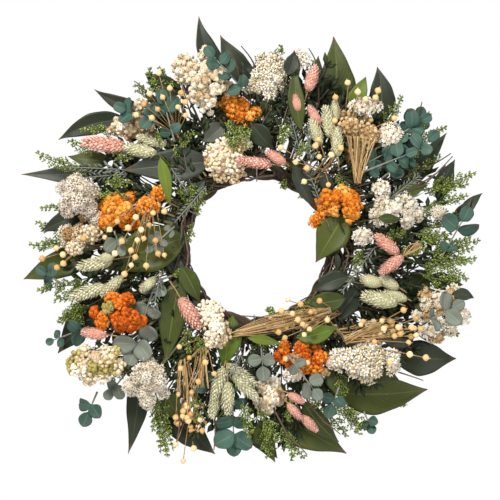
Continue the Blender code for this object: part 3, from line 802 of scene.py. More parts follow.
# node: florets, look, clumps, clump size, florets in a clump, floret size (mm)
CLUSTER_LOOKS = {
    "orange_top": (button_florets, ORANGE, 12, 9.0, 15, 4.6),
    "orange_left": (button_florets, ORANGE, 17, 9.0, 16, 4.7),
    "orange_lower_left": (button_florets, RUST, 15, 8.5, 16, 4.2),
    "orange_right": (button_florets, ORANGE, 10, 9.5, 15, 5.0),
    "orange_bottom": (button_florets, RUST, 16, 8.0, 15, 4.0),
    "cream_top_left": (bud_florets, CREAM, 15, 10.0, 7, 5.4),
    "cream_shoulder_left": (bud_florets, CREAM, 12, 8.0, 8, 3.8),
    "yarrow_top": (yarrow_florets, CREAM, 11, 11.0, 30, 3.2),
    "ashy_left": (ash_florets, ASH, 15, 9.5, 24, 4.2),
    "cream_left": (ash_florets, CREAM, 9, 9.5, 24, 4.0),
    "cream_lower_left": (yarrow_florets, CREAM, 15, 9.0, 24, 3.2),
    "white_lower_left": (ash_florets, WHITE, 15, 9.5, 22, 4.2),
    "yarrow_bottom": (yarrow_florets, CREAM, 10, 10.0, 32, 3.0),
    "cream_bottom": (button_florets, CREAM, 11, 9.0, 15, 4.4),
    "star_top": (star_florets, WHITE, 18, 9.5, 9, 6.6),
    "star_lower_right": (star_florets, WHITE, 20, 9.5, 9, 6.8),
    "ashy_right": (white_florets, WHITE, 18, 9.5, 14, 4.4),
    "white_right": (white_florets, WHITE, 17, 10.0, 15, 4.4),
}


# clusters with clumps gone over to another colour: the share of them and the colour
FADED = {
    "cream_shoulder_left": (0.34, FADED_TAN), "cream_left": (0.30, FADED_TAN),
    "cream_lower_left": (0.42, FADED_OLIVE), "orange_lower_left": (0.16, FADED_OLIVE),
    "yarrow_top": (0.14, FADED_TAN), "white_right": (0.22, FADED_TAN), "orange_bottom": (0.14, FADED_TAN),
    "cream_bottom": (0.25, FADED_TAN), "ashy_left": (0.12, FADED_TAN),
}


def make_clusters():
    """The flower clusters of the frame, their faded clumps, and the stalks under them in two pieces."""
    eye = moved(knob(0.24, 0.42, 5, 2, 0.75), (0, 0, 0.05))
    stalks = {"upper": [], "lower": []}
    faded = {FADED_TAN: [], FADED_OLIVE: []}
    for index, (node, (florets, look, clumps, clump_size, per_clump, size)) in enumerate(CLUSTER_LOOKS.items()):
        site = Site(node)
        share, colour = FADED.get(node, (0.0, FADED_TAN))
        shapes, eyes, more_stalks, others = clump_cluster(
            site, florets(), clumps, clump_size * MM, per_clump, size * MM, 100 + index,
            eye if florets is star_florets else None, share)
        add_piece(f"look_{node}", join(shapes), look, SLOT_OF[node], [node])
        if eyes:
            add_piece(f"eyes_{node}", join(eyes), STAR_EYE, SLOT_OF[node])
        faded[colour] += others
        stalks["upper" if site.centre[2] > RING_Z else "lower"] += more_stalks
    for look, shapes in faded.items():
        add_piece(slot_for(look), join(shapes), look, "cream")
    for half, shapes in stalks.items():
        add_piece(f"cluster_stalks_{half}", join(shapes), GREEN_STALK, "greens")


# x z of the middle, half width, half height, how far forward, florets, look, count, floret size
BLOBS = (
    ((73, 33), 11, 10, 50, button_florets, ORANGE, 26, 3.2), ((-88, 217), 14, 19, 62, bud_florets, CREAM, 26, 4.6),
    ((-62, 233), 9, 9, 60, bud_florets, CREAM, 12, 4.4), ((130, 171), 20, 9, 62, white_florets, WHITE, 44, 3.6),
    ((161, 136), 16, 15, 58, white_florets, WHITE, 50, 3.8), ((52, 228), 10, 10, 64, star_florets, WHITE, 14, 5.0),
    ((127, 14), 12, 10, 60, white_florets, WHITE, 24, 3.6), ((219, 43), 9, 8, 52, ash_florets, WHITE, 30, 2.8),
    ((150, 72), 10, 9, 56, white_florets, WHITE, 22, 3.6), ((-222, 0), 9, 8, 54, yarrow_florets, CREAM, 26, 2.6),
    ((-196, 36), 9, 9, 52, ash_florets, ASH, 36, 3.0), ((92, -138), 10, 8, 64, ash_florets, WHITE, 34, 3.0),
    ((-18, 128), 10, 8, 52, yarrow_florets, CREAM, 24, 2.6),
    ((-132, 50), 13, 11, 66, button_florets, ORANGE, 30, 4.0),
    ((-118, 66), 10, 9, 62, button_florets, ORANGE, 20, 3.8), ((-140, 172), 11, 8, 58, bud_florets, CREAM, 16, 3.6),
    ((112, 146), 15, 12, 62, bud_florets, FADED_TAN, 26, 3.8),
    ((134, 138), 13, 12, 60, bud_florets, FADED_TAN, 24, 3.6), ((-202, 18), 12, 11, 54, bud_florets, CREAM, 22, 3.6),
    ((44, -152), 14, 9, 60, star_florets, WHITE, 16, 4.6),
)


def make_blobs():
    """Small tufts of flowers between the clusters, gathered by look."""
    groups, stalks = {}, []
    for index, (middle, half_x, half_z, forward, florets, look, count, size) in enumerate(BLOBS):
        rng = np.random.default_rng(400 + index)
        ways = dome_spots(count, 0.95)
        centre = spot(*middle, forward - 0.8 * half_z)
        origins = centre + ways @ axes_facing(FRONT, rng.uniform(*ANY_TURN)).T * (
            np.array((half_x, 0.9 * half_z, half_z)) * MM) * rng.uniform(0.8, 1.05, (count, 1))
        axes = [axes_facing(origin - centre + FRONT * 0.004, rng.uniform(*ANY_TURN)) for origin in origins]
        floret = florets()[index % 3]
        groups.setdefault(look, []).append(
            scattered(floret, origins, axes, size * MM * rng.uniform(0.8, 1.15, count), rng.uniform(0, 1, count)))
        # a solid core under each tuft; its share of 0.22 gives it about half of the deep colour, painted shade in the
        # gaps
        core = knob(1.0, 1.0, 10, 3, 0.22)
        core.points *= np.array((0.84 * half_x, 0.84 * half_z, 0.74 * half_z)) * MM
        groups[look].append(moved(core, centre, axes_facing(FRONT, 0.0), 1.0, 0.4))
        foot = centre - FRONT * 0.008 + (ring_root(centre, 0.04) - centre) * np.array((0.3, 0, 0.3))
        stalks += [tube(bent_line(foot, origin, (0, 0, 0), 3), 0.0005, 4) for origin in origins[::4]]
        stalks.append(stalk_to_ring(foot, 0.0014))
    for look, shapes in groups.items():
        slot = "cream" if look is FADED_TAN else slot_for(look)
        add_piece(f"tufts_{slot_for(look)}", join(shapes), look, slot)
    add_piece("tuft_stalks", join(stalks), GREEN_STALK, "greens")


# ---- flax, grasses, eucalyptus and greens --------------------------------------------------

POD_RADIUS = (3.2, 4.2)


def pod_shape():
    """A flax pod about +X: round, ribbed, with a short point and small sepals at its foot."""
    rows, sides = 6, 8
    share = np.linspace(0.0, 1.0, rows)
    radius = np.sin(math.pi * np.clip(share * 0.94 + 0.03, 0, 1)) ** 0.75
    points = np.column_stack((share * 2.0 - 0.2, np.zeros(rows), np.zeros(rows)))
    body = tube(points, radius, sides)
    body.tint[:, 1] = np.clip(0.35 + 0.5 * body.tint[:, 1], 0, 1)
    point = tube(((1.7, 0, 0), (2.25, 0, 0)), (0.16, 0.03), 5)
    sepal = petal(1.1, 0.5, 0.06, 0.35)
    sepals = []
    for index in range(5):
        turn = math.tau * index / 5
        side = np.array((0.0, math.cos(turn), math.sin(turn)))
        sepals.append(moved(sepal, (-0.22, 0, 0), axes_along(np.array((0.75, 0, 0)) + 0.66 * side, side)))
    return join([outward(body), point, *sepals])


def make_flax(node, pods, seed):
    """A bunch: stalks fan from the tie, each to a pod, with a few bare stalk ends at the tie."""
    rng = np.random.default_rng(seed)
    site = Site(node)
    tie = site.centre - site.along * site.half_long * 0.98
    stalks, origins, axes, scales, tones = [], [], [], [], []
    for _ in range(pods):
        out = rng.uniform(0.30, 0.98) ** 0.8
        side = rng.uniform(-1, 1)
        deep = rng.uniform(-1, 1)
        fan = 0.40 + 0.60 * out
        end = (tie + site.along * 2.0 * site.half_long * (0.94 * out - 0.06 * abs(side))
               + site.across * site.half_wide * 0.92 * side * fan - FRONT * 0.004 * (1 - out)
               + FRONT * site.half_deep * 0.85 * deep)
        start = tie + site.across * side * 0.004 + FRONT * deep * 0.003 - site.along * rng.uniform(0, 0.012)
        bend = site.across * rng.normal(0, 0.002) + FRONT * rng.normal(0, 0.002)
        line = bent_line(start, end, bend, 8)
        stalks.append(moved(tube(line, np.linspace(0.0008, 0.00045, 8), 4), tone=rng.uniform(0, 1)))
        origins.append(end)
        axes.append(axes_along(line[-1] - line[-2] + rng.normal(0, 0.0012, 3), FRONT))
        scales.append(rng.uniform(*POD_RADIUS) * MM)
        tones.append(rng.uniform(0, 1))
    add_piece(f"look_{node}", scattered(pod_shape(), origins, axes, scales, tones), FLAX, SLOT_OF[node], [node])
    stalks.append(stalk_to_ring(tie, 0.0022))
    add_piece(f"stalks_{node}", join(stalks), STRAW, SLOT_OF[node])


def grass_head(length, width, seed):
    """A grass head along +X: overlapping bracts in a spiral round a spindle."""
    rng = np.random.default_rng(seed)
    count = 130
    share = (np.arange(count) + 0.5) / count
    spindle = np.sin(math.pi * np.clip(0.08 + 0.90 * share, 0, 1)) ** 0.6
    bract = petal(1.0, 0.46, 0.07, 0.16)
    origins, axes = [], []
    for index in range(count):
        turn = GOLDEN * index
        side = np.array((0.0, math.cos(turn), math.sin(turn)))
        origins.append(np.array((length * share[index] * 0.92, 0, 0)) + side * 0.30 * width * spindle[index])
        lean = 0.52 + 0.25 * rng.uniform(-1, 1) - 0.25 * share[index]
        axes.append(axes_along(np.array((1.0, 0, 0)) + lean * side, side))
    core = tube([(length * s, 0, 0) for s in np.linspace(0.0, 0.95, 9)],
                0.36 * width * np.sin(math.pi * np.linspace(0.08, 0.97, 9)) ** 0.6, 9)
    bracts = scattered(bract, origins, axes, 0.17 * length * rng.uniform(0.85, 1.15, count),
                       rng.uniform(0, 1, count))
    return join([bracts, core])


# middle x z, length, width, x z of the stalk's foot, how far forward, pink or not
GRASS_HEADS = (
    ((-196, -19), 42, 17, (-150, -10), 58, False), ((-204, -53), 44, 17, (-158, -38), 59, False),
    ((-176, -46), 34, 15, (-150, -22), 57, False), ((-181, -11), 18, 15, (-160, -6), 62, False),
    ((136, -40), 26, 19, (170, -50), 62, False), ((158, -42), 26, 17, (180, -54), 58, False),
    ((146, -62), 44, 22, (178, -70), 64, False), ((166, -58), 30, 16, (186, -64), 56, False),
    ((-132, -44), 24, 14, (-116, -30), 60, False), ((-142, 118), 40, 18, (-104, 112), 52, False),
    ((-128, 130), 36, 15, (-96, 122), 50, False), ((70, 140), 34, 16, (82, 108), 58, False),
    ((85, 152), 38, 17, (92, 110), 56, False), ((96, 128), 34, 16, (98, 96), 60, False),
    ((94, 166), 24, 14, (96, 140), 52, False), ((-47, -163), 40, 16, (-38, -136), 60, False),
    ((-36, -180), 38, 17, (-36, -140), 64, False), ((-52, -188), 34, 14, (-44, -150), 58, False),
    ((-15, -167), 40, 17, (-36, -146), 62, False), ((-20, -152), 44, 12, (-38, -140), 58, False),
    ((-185, 125), 52, 20, (-150, 122), 54, True), ((-4, 102), 42, 13, (28, 98), 72, True),
    ((22, 108), 28, 14, (38, 98), 70, True), ((65, 204), 32, 17, (54, 168), 60, True),
    ((47, 174), 20, 13, (55, 140), 66, True), ((68, 160), 26, 13, (84, 136), 60, True),
    ((155, 4), 36, 17, (176, -12), 68, True), ((160, -20), 34, 16, (196, 6), 70, True),
    ((-82, -78), 42, 21, (-106, -40), 62, True), ((-196, -103), 30, 16, (-160, -108), 66, True),
    ((46, -180), 22, 12, (30, -172), 66, True), ((44, -196), 24, 12, (28, -178), 64, True),
    ((62, -211), 26, 13, (38, -188), 60, True),
)


def make_grasses():
    """Green and pink grass heads; the frame's two groups stand for the left and right ones."""
    groups = {"left": [], "right": [], "other": [], "pink": []}
    stalks = []
    for index, (middle, length, width, foot, forward, pink) in enumerate(GRASS_HEADS):
        centre, root = spot(*middle, forward), spot(*foot, forward - 6)
        along = unit(centre - root)
        start = centre - along * 0.5 * length * MM
        head = grass_head(length * MM, 1.14 * width * MM, 300 + index)
        group = "pink" if pink else "left" if middle[0] < -160 else "right" if middle[0] > 120 else "other"
        groups[group].append(moved(head, start, axes_along(along, FRONT)))
        stalks.append(tube(bent_line(root, start + along * 0.004, (0, 0, 0.001), 5), 0.0008, 5))
    names = {"left": ["grass_left"], "right": ["grass_right"]}
    for group, shapes in groups.items():
        look = GRASS_PINK if group == "pink" else GRASS_GREEN
        add_piece(f"grass_heads_{group}", join(shapes), look, "grass_head", names.get(group, []))
    add_piece("grass_stalks", join(stalks), STRAW, "flax")


def round_leaf(seed):
    """A round eucalyptus leaf of length 2 along +X, folded and buckled, with a short stalk and a blunt tip."""
    phase = seed * 1.3
    fold = 0.18 + 0.22 * (0.5 + 0.5 * math.sin(2.7 * seed))

    def half(share):
        disc = np.sqrt(np.maximum(0.0, 1.0 - (2.0 * np.clip((share - 0.06) / 0.94, 0, 1) - 1.0) ** 2)) ** 0.95
        return np.maximum(0.03, disc * (0.92 - 0.16 * share + 0.07 * np.sin(7.0 * share + phase)))

    def lift(share, across):
        return fold * np.abs(half(share) * across) + 0.22 * np.sin(math.pi * share + 0.5 * phase) \
            + 0.09 * across * np.sin(6.0 * share + phase)

    return blade(12, 6, 2.0, half, lift, 0.045)


def sprig_of_rounds(foot, tip, first, last, pairs, forward_bend, seed):
    """A eucalyptus sprig: pairs of round leaves that turn along the stalk."""
    rng = np.random.default_rng(seed)
    foot, tip = np.asarray(foot), np.asarray(tip)
    line = bent_line(foot, tip, FRONT * forward_bend, 12)
    along = unit(tip - foot)
    across = np.cross(FRONT, along)
    leaves = []
    for pair in range(pairs):
        share = (pair + 0.7) / pairs
        place = line[int(share * 11)]
        radius = (first + (last - first) * pair / max(1, pairs - 1))
        for side in (-1, 1):
            way = unit(across * side + along * rng.uniform(0.1, 0.9) + FRONT * rng.normal(0.1, 0.45))
            normal = unit(FRONT + across * side * rng.normal(-0.2, 0.55) + along * rng.normal(0, 0.5))
            leaves.append(moved(round_leaf(seed + pair * 2 + side), place, axes_along(way, normal),
                                radius * rng.uniform(0.72, 1.0), rng.uniform(0, 1)))
    leaves.append(moved(round_leaf(seed), line[-1], axes_along(along, FRONT), last * 0.7, 0.5))
    return leaves, tube(line, np.linspace(0.0013, 0.0007, 12), 6)


# x z of the foot, x z of the tip, leaf radius at foot and tip, pairs, how far forward, silver or not
MORE_EUCALYPTUS = (
    ((-118, 150), (-158, 166), 11, 12, 2, 60, False), ((-100, 128), (-112, 172), 10, 14, 2, 62, False),
    ((-12, 184), (-52, 228), 9, 12, 3, 72, False), ((222, -14), (248, 32), 8, 15, 2, 44, False),
    ((-236, -44), (-256, -32), 12, 11, 1, 44, False), ((-206, -96), (-248, -112), 11, 8, 2, 36, False),
    ((-196, -176), (-206, -200), 12, 14, 1, 34, False), ((196, -90), (232, -72), 9, 12, 2, 76, True),
    ((4, -118), (6, -142), 11, 14, 1, 58, True), ((36, -128), (66, -168), 9, 12, 2, 76, True),
    ((98, -168), (90, -188), 9, 13, 1, 60, False), ((-172, 20), (-166, 4), 11, 11, 1, 70, True),
    ((-100, 26), (-126, 2), 6, 8, 3, 66, True), ((120, 96), (150, 112), 10, 12, 1, 56, False),
    ((128, 92), (178, 112), 9, 11, 3, 60, False), ((140, 118), (196, 152), 9, 12, 3, 50, False),
    ((150, 84), (206, 130), 10, 12, 3, 52, False), ((-62, -140), (-66, -160), 9, 12, 1, 50, False),
    ((-150, -140), (-176, -172), 8, 11, 2, 40, True), ((130, -200), (136, -214), 9, 10, 1, 36, False),
)


def make_eucalyptus():
    """Eucalyptus: the three sprigs of the frame, and the rest green and silver."""
    for index, node in enumerate(("eucalyptus_upper_right", "eucalyptus_lower_left", "eucalyptus_bottom")):
        site = Site(node)
        silver = SLOT_OF[node] == "silver_leaf"
        foot = site.centre - site.along * site.half_long
        tip = site.centre + site.along * site.half_long * 0.72
        sizes = ((0.0125, 0.0115, 5), (0.012, 0.016, 4), (0.010, 0.0145, 4))[index]
        leaves, stalk = sprig_of_rounds(foot, tip, *sizes, 0.002, 500 + 10 * index)
        add_piece(f"look_{node}", join(leaves), SILVER_LEAF if silver else EUCALYPTUS, SLOT_OF[node], [node])
        add_piece(f"stalk_{node}", join([stalk, stalk_to_ring(foot, 0.0013)]), SILVER_STALK, "silver_leaf")
    groups = {False: [], True: []}
    stalks = []
    for index, (foot, tip, first, last, pairs, forward, silver) in enumerate(MORE_EUCALYPTUS):
        leaves, stalk = sprig_of_rounds(spot(*foot, forward - 4), spot(*tip, forward), first * MM, last * MM,
                                        pairs, 0.002, 600 + 10 * index)
        groups[silver] += leaves
        stalks.append(stalk)
    add_piece("more_eucalyptus", join(groups[False]), EUCALYPTUS, "eucalyptus")
    add_piece("more_silver_leaf", join(groups[True]), SILVER_LEAF, "silver_leaf")
    add_piece("more_eucalyptus_stalks", join(stalks), SILVER_STALK, "silver_leaf")


LEAFLET = outward(Shape(
    ((0, 0, 0), (0.55, 0.30, 0.04), (0.55, -0.30, 0.04), (1.0, 0, -0.05)),
    ((0, 1, 2), (0, 3, 1), (0, 2, 3), (1, 3, 2)), (), ((0, 0, .5), (0, .7, 1), (0, .7, 0), (0, 1, .5))))


def frond(foot, tip, width, seed, density=1.0, leaflet_size=5.0):
    """A feathery spray: side stalks along a main one, each set with tiny leaflets."""
    rng = np.random.default_rng(seed)
    foot, tip = np.asarray(foot), np.asarray(tip)
    length = np.linalg.norm(tip - foot)
    along = unit(tip - foot)
    across = np.cross(FRONT, along)
    bend = across * rng.normal(0, 0.05 * length) + FRONT * rng.normal(0, 0.03 * length)
    line = bent_line(foot, tip, bend, 14)
    origins, axes, scales, stalks = [], [], [], [tube(line, np.linspace(0.0009, 0.0004, 14), 4)]
    branches = max(8, int(density * length / 0.0030))
    for branch in range(branches):
        share = 0.10 + 0.88 * (branch + rng.uniform(0, 0.8)) / branches
        place = line[min(13, int(share * 13))]
        side = 1 if branch % 2 else -1
        reach = width * (0.55 + 0.45 * math.sin(math.pi * min(1.0, 1.25 * share))) * rng.uniform(0.55, 1.0)
        reach *= 1.0 - 0.55 * max(0.0, share - 0.6) / 0.4
        way = unit(along * rng.uniform(0.6, 1.4) + across * side * rng.uniform(0.4, 1.0) + FRONT * rng.normal(0, 0.4))
        stalks.append(tube(bent_line(place, place + way * reach, along * 0.0, 2), 0.0004, 3))
        count = max(4, int(reach / 0.0014))
        for step in range(count):
            origins.append(place + way * reach * (step + 0.6) / count)
            turn = unit(way + across * (1 if step % 2 else -1) * 0.9 + FRONT * rng.normal(0, 0.6))
            axes.append(axes_along(turn, unit(FRONT + rng.normal(0, 0.4, 3))))
            scales.append(leaflet_size * MM * rng.uniform(0.75, 1.15) * (1.0 - 0.35 * step / count))
    return scattered(LEAFLET, origins, axes, scales, rng.uniform(0, 1, len(origins))), stalks


# x z of the foot, x z of the tip, half width, how far forward
FRONDS = (
    ((-200, 92), (-272, 117), 20, 38), ((-196, 108), (-232, 132), 18, 36), ((-160, 140), (-216, 144), 14, 44),
    ((-118, 170), (-134, 220), 16, 34), ((-100, 190), (-120, 223), 14, 34), ((-204, 44), (-266, 50), 16, 36),
    ((-222, 14), (-280, 4), 20, 34), ((-232, 18), (-272, 33), 12, 32), ((-200, -46), (-270, -53), 22, 38),
    ((-212, -60), (-244, -92), 18, 36), ((-192, -120), (-222, -138), 16, 46), ((20, 224), (30, 247), 14, 44),
    ((56, 205), (68, 228), 14, 40), ((150, 140), (178, 187), 16, 34), ((176, 118), (232, 150), 18, 34),
    ((184, 140), (212, 164), 14, 34), ((196, 70), (268, 94), 22, 34), ((204, 66), (258, 78), 18, 36),
    ((200, 48), (258, 64), 18, 38), ((196, 20), (250, 44), 16, 40), ((206, -6), (272, 9), 20, 42),
    ((204, -14), (262, -16), 20, 42), ((196, -20), (258, -38), 20, 40), ((196, -84), (262, -84), 14, 36),
    ((200, -92), (246, -104), 16, 38), ((90, -186), (140, -224), 22, 36), ((76, -190), (110, -230), 18, 38),
    ((14, -196), (58, -258), 20, 34), ((0, -190), (26, -234), 22, 52), ((-18, -184), (-8, -228), 20, 56),
    ((-124, -180), (-128, -222), 18, 40), ((-112, -184), (-109, -256), 14, 38), ((150, -178), (186, -194), 10, 16),
    ((-76, -172), (-74, -212), 22, 44), ((-150, 78), (-182, 80), 20, 56), ((-30, 112), (-36, 152), 26, 66),
    ((-14, 116), (-20, 148), 22, 64), ((26, 120), (38, 150), 20, 60), ((44, 108), (64, 128), 16, 58),
    ((-104, 108), (-78, 140), 16, 54), ((-104, 70), (-62, 66), 18, 52), ((-98, 74), (-72, 48), 16, 50),
    ((-86, -96), (-84, -128), 18, 54), ((-70, -102), (-66, -136), 20, 56), ((150, 12), (180, 20), 16, 58),
    ((128, 0), (118, -26), 18, 56), ((168, -8), (200, 0), 16, 54), ((40, -72), (92, -72), 18, 56),
    ((24, -84), (12, -72), 12, 52), ((60, -170), (76, -192), 18, 48), ((98, 92), (104, 70), 20, 50),
    ((-92, -36), (-98, -30), 16, 52), ((36, 84), (30, 74), 10, 46), ((-118, 124), (-120, 140), 14, 58),
    ((176, 106), (196, 118), 16, 40), ((196, -30), (248, -38), 22, 44), ((200, -44), (254, -54), 22, 44),
    ((190, 8), (236, 12), 20, 42), ((10, -210), (14, -256), 22, 36), ((30, -214), (42, -260), 20, 38),
    ((-206, -58), (-248, -64), 20, 38), ((-200, -72), (-242, -88), 20, 38), ((-212, 10), (-262, 4), 18, 38),
    ((100, -148), (104, -180), 20, 48), ((108, -188), (124, -228), 20, 40), ((-62, 66), (-72, 40), 12, 46),
    ((-78, 30), (-84, 6), 10, 44), ((-126, 176), (-150, 200), 18, 38), ((60, 60), (54, 66), 10, 44),
    ((182, 40), (232, 44), 18, 44), ((188, 18), (236, 18), 18, 44), ((176, 84), (224, 112), 16, 40),
    ((-176, 60), (-222, 62), 16, 44), ((-150, -140), (-176, -158), 18, 46), ((-40, -176), (-44, -214), 18, 44),
    ((48, -176), (40, -214), 16, 44), ((-64, 180), (-70, 206), 14, 50), ((14, 160), (16, 196), 16, 44),
    ((-150, 108), (-176, 116), 16, 52), ((-212, -78), (-218, -90), 18, 40), ((-152, 60), (-196, 66), 18, 56),
)


def make_greens():
    """Feathery greens: the two of the frame, and the rest in four quarters."""
    for index, node in enumerate(("greens_right", "greens_bottom_left")):
        site = Site(node)
        shapes, stalks = [], []
        for turn in (-0.8, 0.0, 0.8):
            foot = site.centre - site.along * site.half_long * 0.96
            tip = site.centre + site.along * site.half_long * 0.94 + site.across * site.half_wide * 0.6 * turn
            leaflets, twigs = frond(foot, tip, site.half_wide * 0.5, 700 + 10 * index + int(5 * turn))
            shapes.append(leaflets)
            stalks += twigs
        add_piece(f"look_{node}", join(shapes), GREENS, "greens", [node])
        add_piece(f"stalks_{node}", join(stalks + [stalk_to_ring(foot, 0.0012)]), GREEN_STALK, "greens")
    quarters = {"upper_left": [], "upper_right": [], "lower_left": [], "lower_right": []}
    stalks = []
    for index, (foot, tip, width, forward) in enumerate(FRONDS):
        leaflets, twigs = frond(spot(*foot, forward), spot(*tip, forward - 4), width * MM * 0.8, 800 + index)
        quarter = ("upper" if foot[1] > 0 else "lower") + ("_left" if foot[0] < 0 else "_right")
        quarters[quarter].append(leaflets)
        stalks += twigs
    for quarter, shapes in quarters.items():
        add_piece(f"greens_{quarter}", join(shapes), GREENS, "greens")
    add_piece("greens_stalks", join(stalks), GREEN_STALK, "greens")


# ---- loose pods, sprays, twigs and the bed -------------------------------------------------

# x z of the foot, how far forward, then x z of each pod
LOOSE_PODS = (
    ((-100, 140), 70, ((-143, 158), (-134, 170), (-128, 182), (-118, 207), (-118, 164), (-112, 178), (-105, 188),
                       (-98, 168), (-92, 182), (-86, 158), (-88, 172), (-124, 154))),
    ((-206, 4), 60, ((-185, 12), (-208, 10), (-256, -12), (-240, 0), (-232, -8), (-232, -17), (-240, -22))),
    ((-128, 66), 78, ((-174, 24), (-138, 24), (-130, 30), (-143, 12), (-135, 14), (-122, 12), (-112, 45), (-125, 43),
                      (-150, 0), (-145, -8), (-150, -18), (-133, -18), (-120, -4), (-112, -6), (-158, -28),
                      (-144, 38), (-152, 26), (-160, 10), (-168, -4), (-166, 34))),
    ((108, 128), 64, ((94, 178), (109, 196), (143, 186), (140, 178), (162, 155), (120, 184), (128, 176))),
    ((84, 92), 70, ((48, 102), (30, 119), (58, 81), (85, 76), (75, 108), (88, 110), (74, 128), (70, 120),
                    (92, 150), (62, 96), (98, 118))),
    ((-60, -108), 74, ((-90, -142), (-53, -148), (-70, -157), (-92, -117), (-80, -130), (-62, -136))),
    ((-84, -200), 44, ((-90, -256), (-78, -240), (-98, -236))),
    ((96, -80), 74, ((38, -63), (53, -68), (31, -75), (75, -64), (51, -85), (56, -90), (64, -96), (85, -86),
                     (57, -102), (28, -100), (35, -106), (44, -78), (66, -76))),
    ((70, -120), 66, ((52, -147), (36, -132), (60, -136))),
    ((112, -114), 78, ((171, -75), (187, -85), (122, -93), (148, -98), (146, -88), (165, -95), (180, -95), (192, -97),
                       (167, -102), (160, -105), (137, -113), (178, -126), (197, -130), (155, -135), (186, -104))),
)


# x z of the foot, x z of the far end, spread at the far end, how far forward, how many stalks
BARE_STRAW = (
    ((121, 78), (124, 134), 20, 66, 22), ((88, -74), (10, -92), 10, 64, 16),
    ((104, -110), (152, -96), 10, 70, 14), ((-66, -118), (-70, -168), 14, 60, 12), ((196, 4), (176, -8), 3, 70, 8),
)


def make_loose_pods():
    """Pods too scattered for the frame's bunches, and the bare straw in the bunches."""
    rng = np.random.default_rng(31)
    origins, axes, stalks = [], [], []
    for foot, end, spread, forward, count in BARE_STRAW:
        root, far = spot(*foot, forward - 6), spot(*end, forward)
        across = np.cross(FRONT, unit(far - root))
        for _ in range(count):
            tip = far + across * rng.uniform(-1, 1) * spread * MM + FRONT * rng.normal(0, 0.003)
            start = root + across * rng.normal(0, 0.0022) + FRONT * rng.normal(0, 0.002)
            line = bent_line(start, tip, across * rng.normal(0, 0.0015), 6)
            stalks.append(moved(tube(line, np.linspace(0.0008, 0.0005, 6), 4), tone=rng.uniform(0, 1)))
    for foot, forward, ends in LOOSE_PODS:
        root = spot(*foot, forward - 26)
        for end in ends:
            tip = spot(*end, forward + rng.uniform(-5, 3))
            line = bent_line(root + rng.normal(0, 0.002, 3), tip, FRONT * rng.uniform(-0.004, 0.004), 7)
            stalks.append(tube(line, 0.0005, 4))
            origins.append(tip)
            axes.append(axes_along(line[-1] - line[-2] + rng.normal(0, 0.0015, 3), FRONT))
        stalks.append(stalk_to_ring(root, 0.0012))
    scales = rng.uniform(*POD_RADIUS, len(origins)) * MM
    add_piece("loose_pods", scattered(pod_shape(), origins, axes, scales, rng.uniform(0, 1, len(origins))),
              FLAX, "flax")
    add_piece("loose_pod_stalks", join(stalks), STRAW, "flax")


# x z of the foot, x z of the tip, how far forward, leaf length
SPRAYS = (
    ((-160, 95), (-230, 98), 50, 14), ((-158, 90), (-222, 84), 48, 12), ((-62, 74), (-100, 30), 66, 11),
    ((140, 0), (100, -54), 66, 12), ((78, 50), (56, 104), 58, 11), ((-118, -34), (-126, -80), 60, 12),
    ((52, 112), (40, 158), 56, 12), ((64, 106), (60, 150), 58, 11), ((-104, 96), (-84, 66), 62, 10),
    ((108, -120), (118, -150), 66, 10), ((-20, -128), (-34, -154), 70, 10), ((160, 60), (196, 88), 54, 12),
)


def make_sprays():
    """Silver sprays: narrow pale leaves in pairs along a stalk."""
    rng = np.random.default_rng(32)
    origins, axes, scales, stalks = [], [], [], []
    for foot, tip, forward, size in SPRAYS:
        start, end = spot(*foot, forward - 4), spot(*tip, forward)
        line = bent_line(start, end, FRONT * 0.003, 12)
        along = unit(end - start)
        across = np.cross(FRONT, along)
        stalks.append(tube(line, 0.0007, 5))
        pairs = int(np.linalg.norm(end - start) / 0.0042)
        for pair in range(pairs):
            place = line[int((pair + 0.6) / pairs * 11)]
            for side in (-1, 1):
                way = (along * rng.uniform(0.6, 1.2) + across * side * rng.uniform(0.5, 1.0)
                       + FRONT * rng.normal(0.1, 0.3))
                origins.append(place)
                axes.append(axes_along(way, FRONT + rng.normal(0, 0.3, 3)))
                scales.append(size * MM * rng.uniform(0.7, 1.1) * (1.0 - 0.3 * pair / pairs))
    add_piece("silver_sprays", scattered(petal(1.0, 0.24, 0.05, 0.08), origins, axes, scales,
                                         rng.uniform(0, 1, len(origins))), SILVER_LEAF, "silver_leaf")
    add_piece("silver_spray_stalks", join(stalks), SILVER_STALK, "silver_leaf")


# x z along each twig, from its foot out, then how far forward
TWIGS = (
    (((-22, 205), (-25, 220), (-35, 240)), 40), (((-2, 205), (-5, 225), (-20, 245)), 42),
    (((74, 176), (73, 220), (62, 242)), 44), (((-128, 178), (-135, 190), (-150, 203)), 40),
    (((-88, 192), (-95, 212), (-105, 222)), 44), (((190, 88), (210, 100), (235, 115)), 40),
    (((186, 150), (195, 165), (200, 178)), 36), (((180, 68), (200, 75), (236, 111)), 46),
    (((176, 64), (204, 82), (228, 100)), 44), (((-92, -190), (-95, -215), (-100, -240)), 40),
    (((-50, -186), (-52, -210), (-53, -245)), 44), (((20, -196), (35, -225), (60, -250)), 48),
    (((62, -190), (80, -210), (100, -225)), 50), (((146, -138), (170, -150), (200, -160)), 50),
    (((96, 20), (110, -6), (104, -30)), 46), (((-100, -60), (-84, -92), (-60, -110)), 48),
    (((-76, 60), (-92, 30), (-94, 6)), 46), (((-90, 22), (-84, -6), (-90, -40)), 44),
    (((20, 88), (-6, 84), (-34, 78)), 44), (((36, -80), (4, -84), (-20, -82)), 44),
    (((66, -62), (84, -36), (92, -10)), 44), (((54, 70), (78, 46), (88, 20)), 46),
)


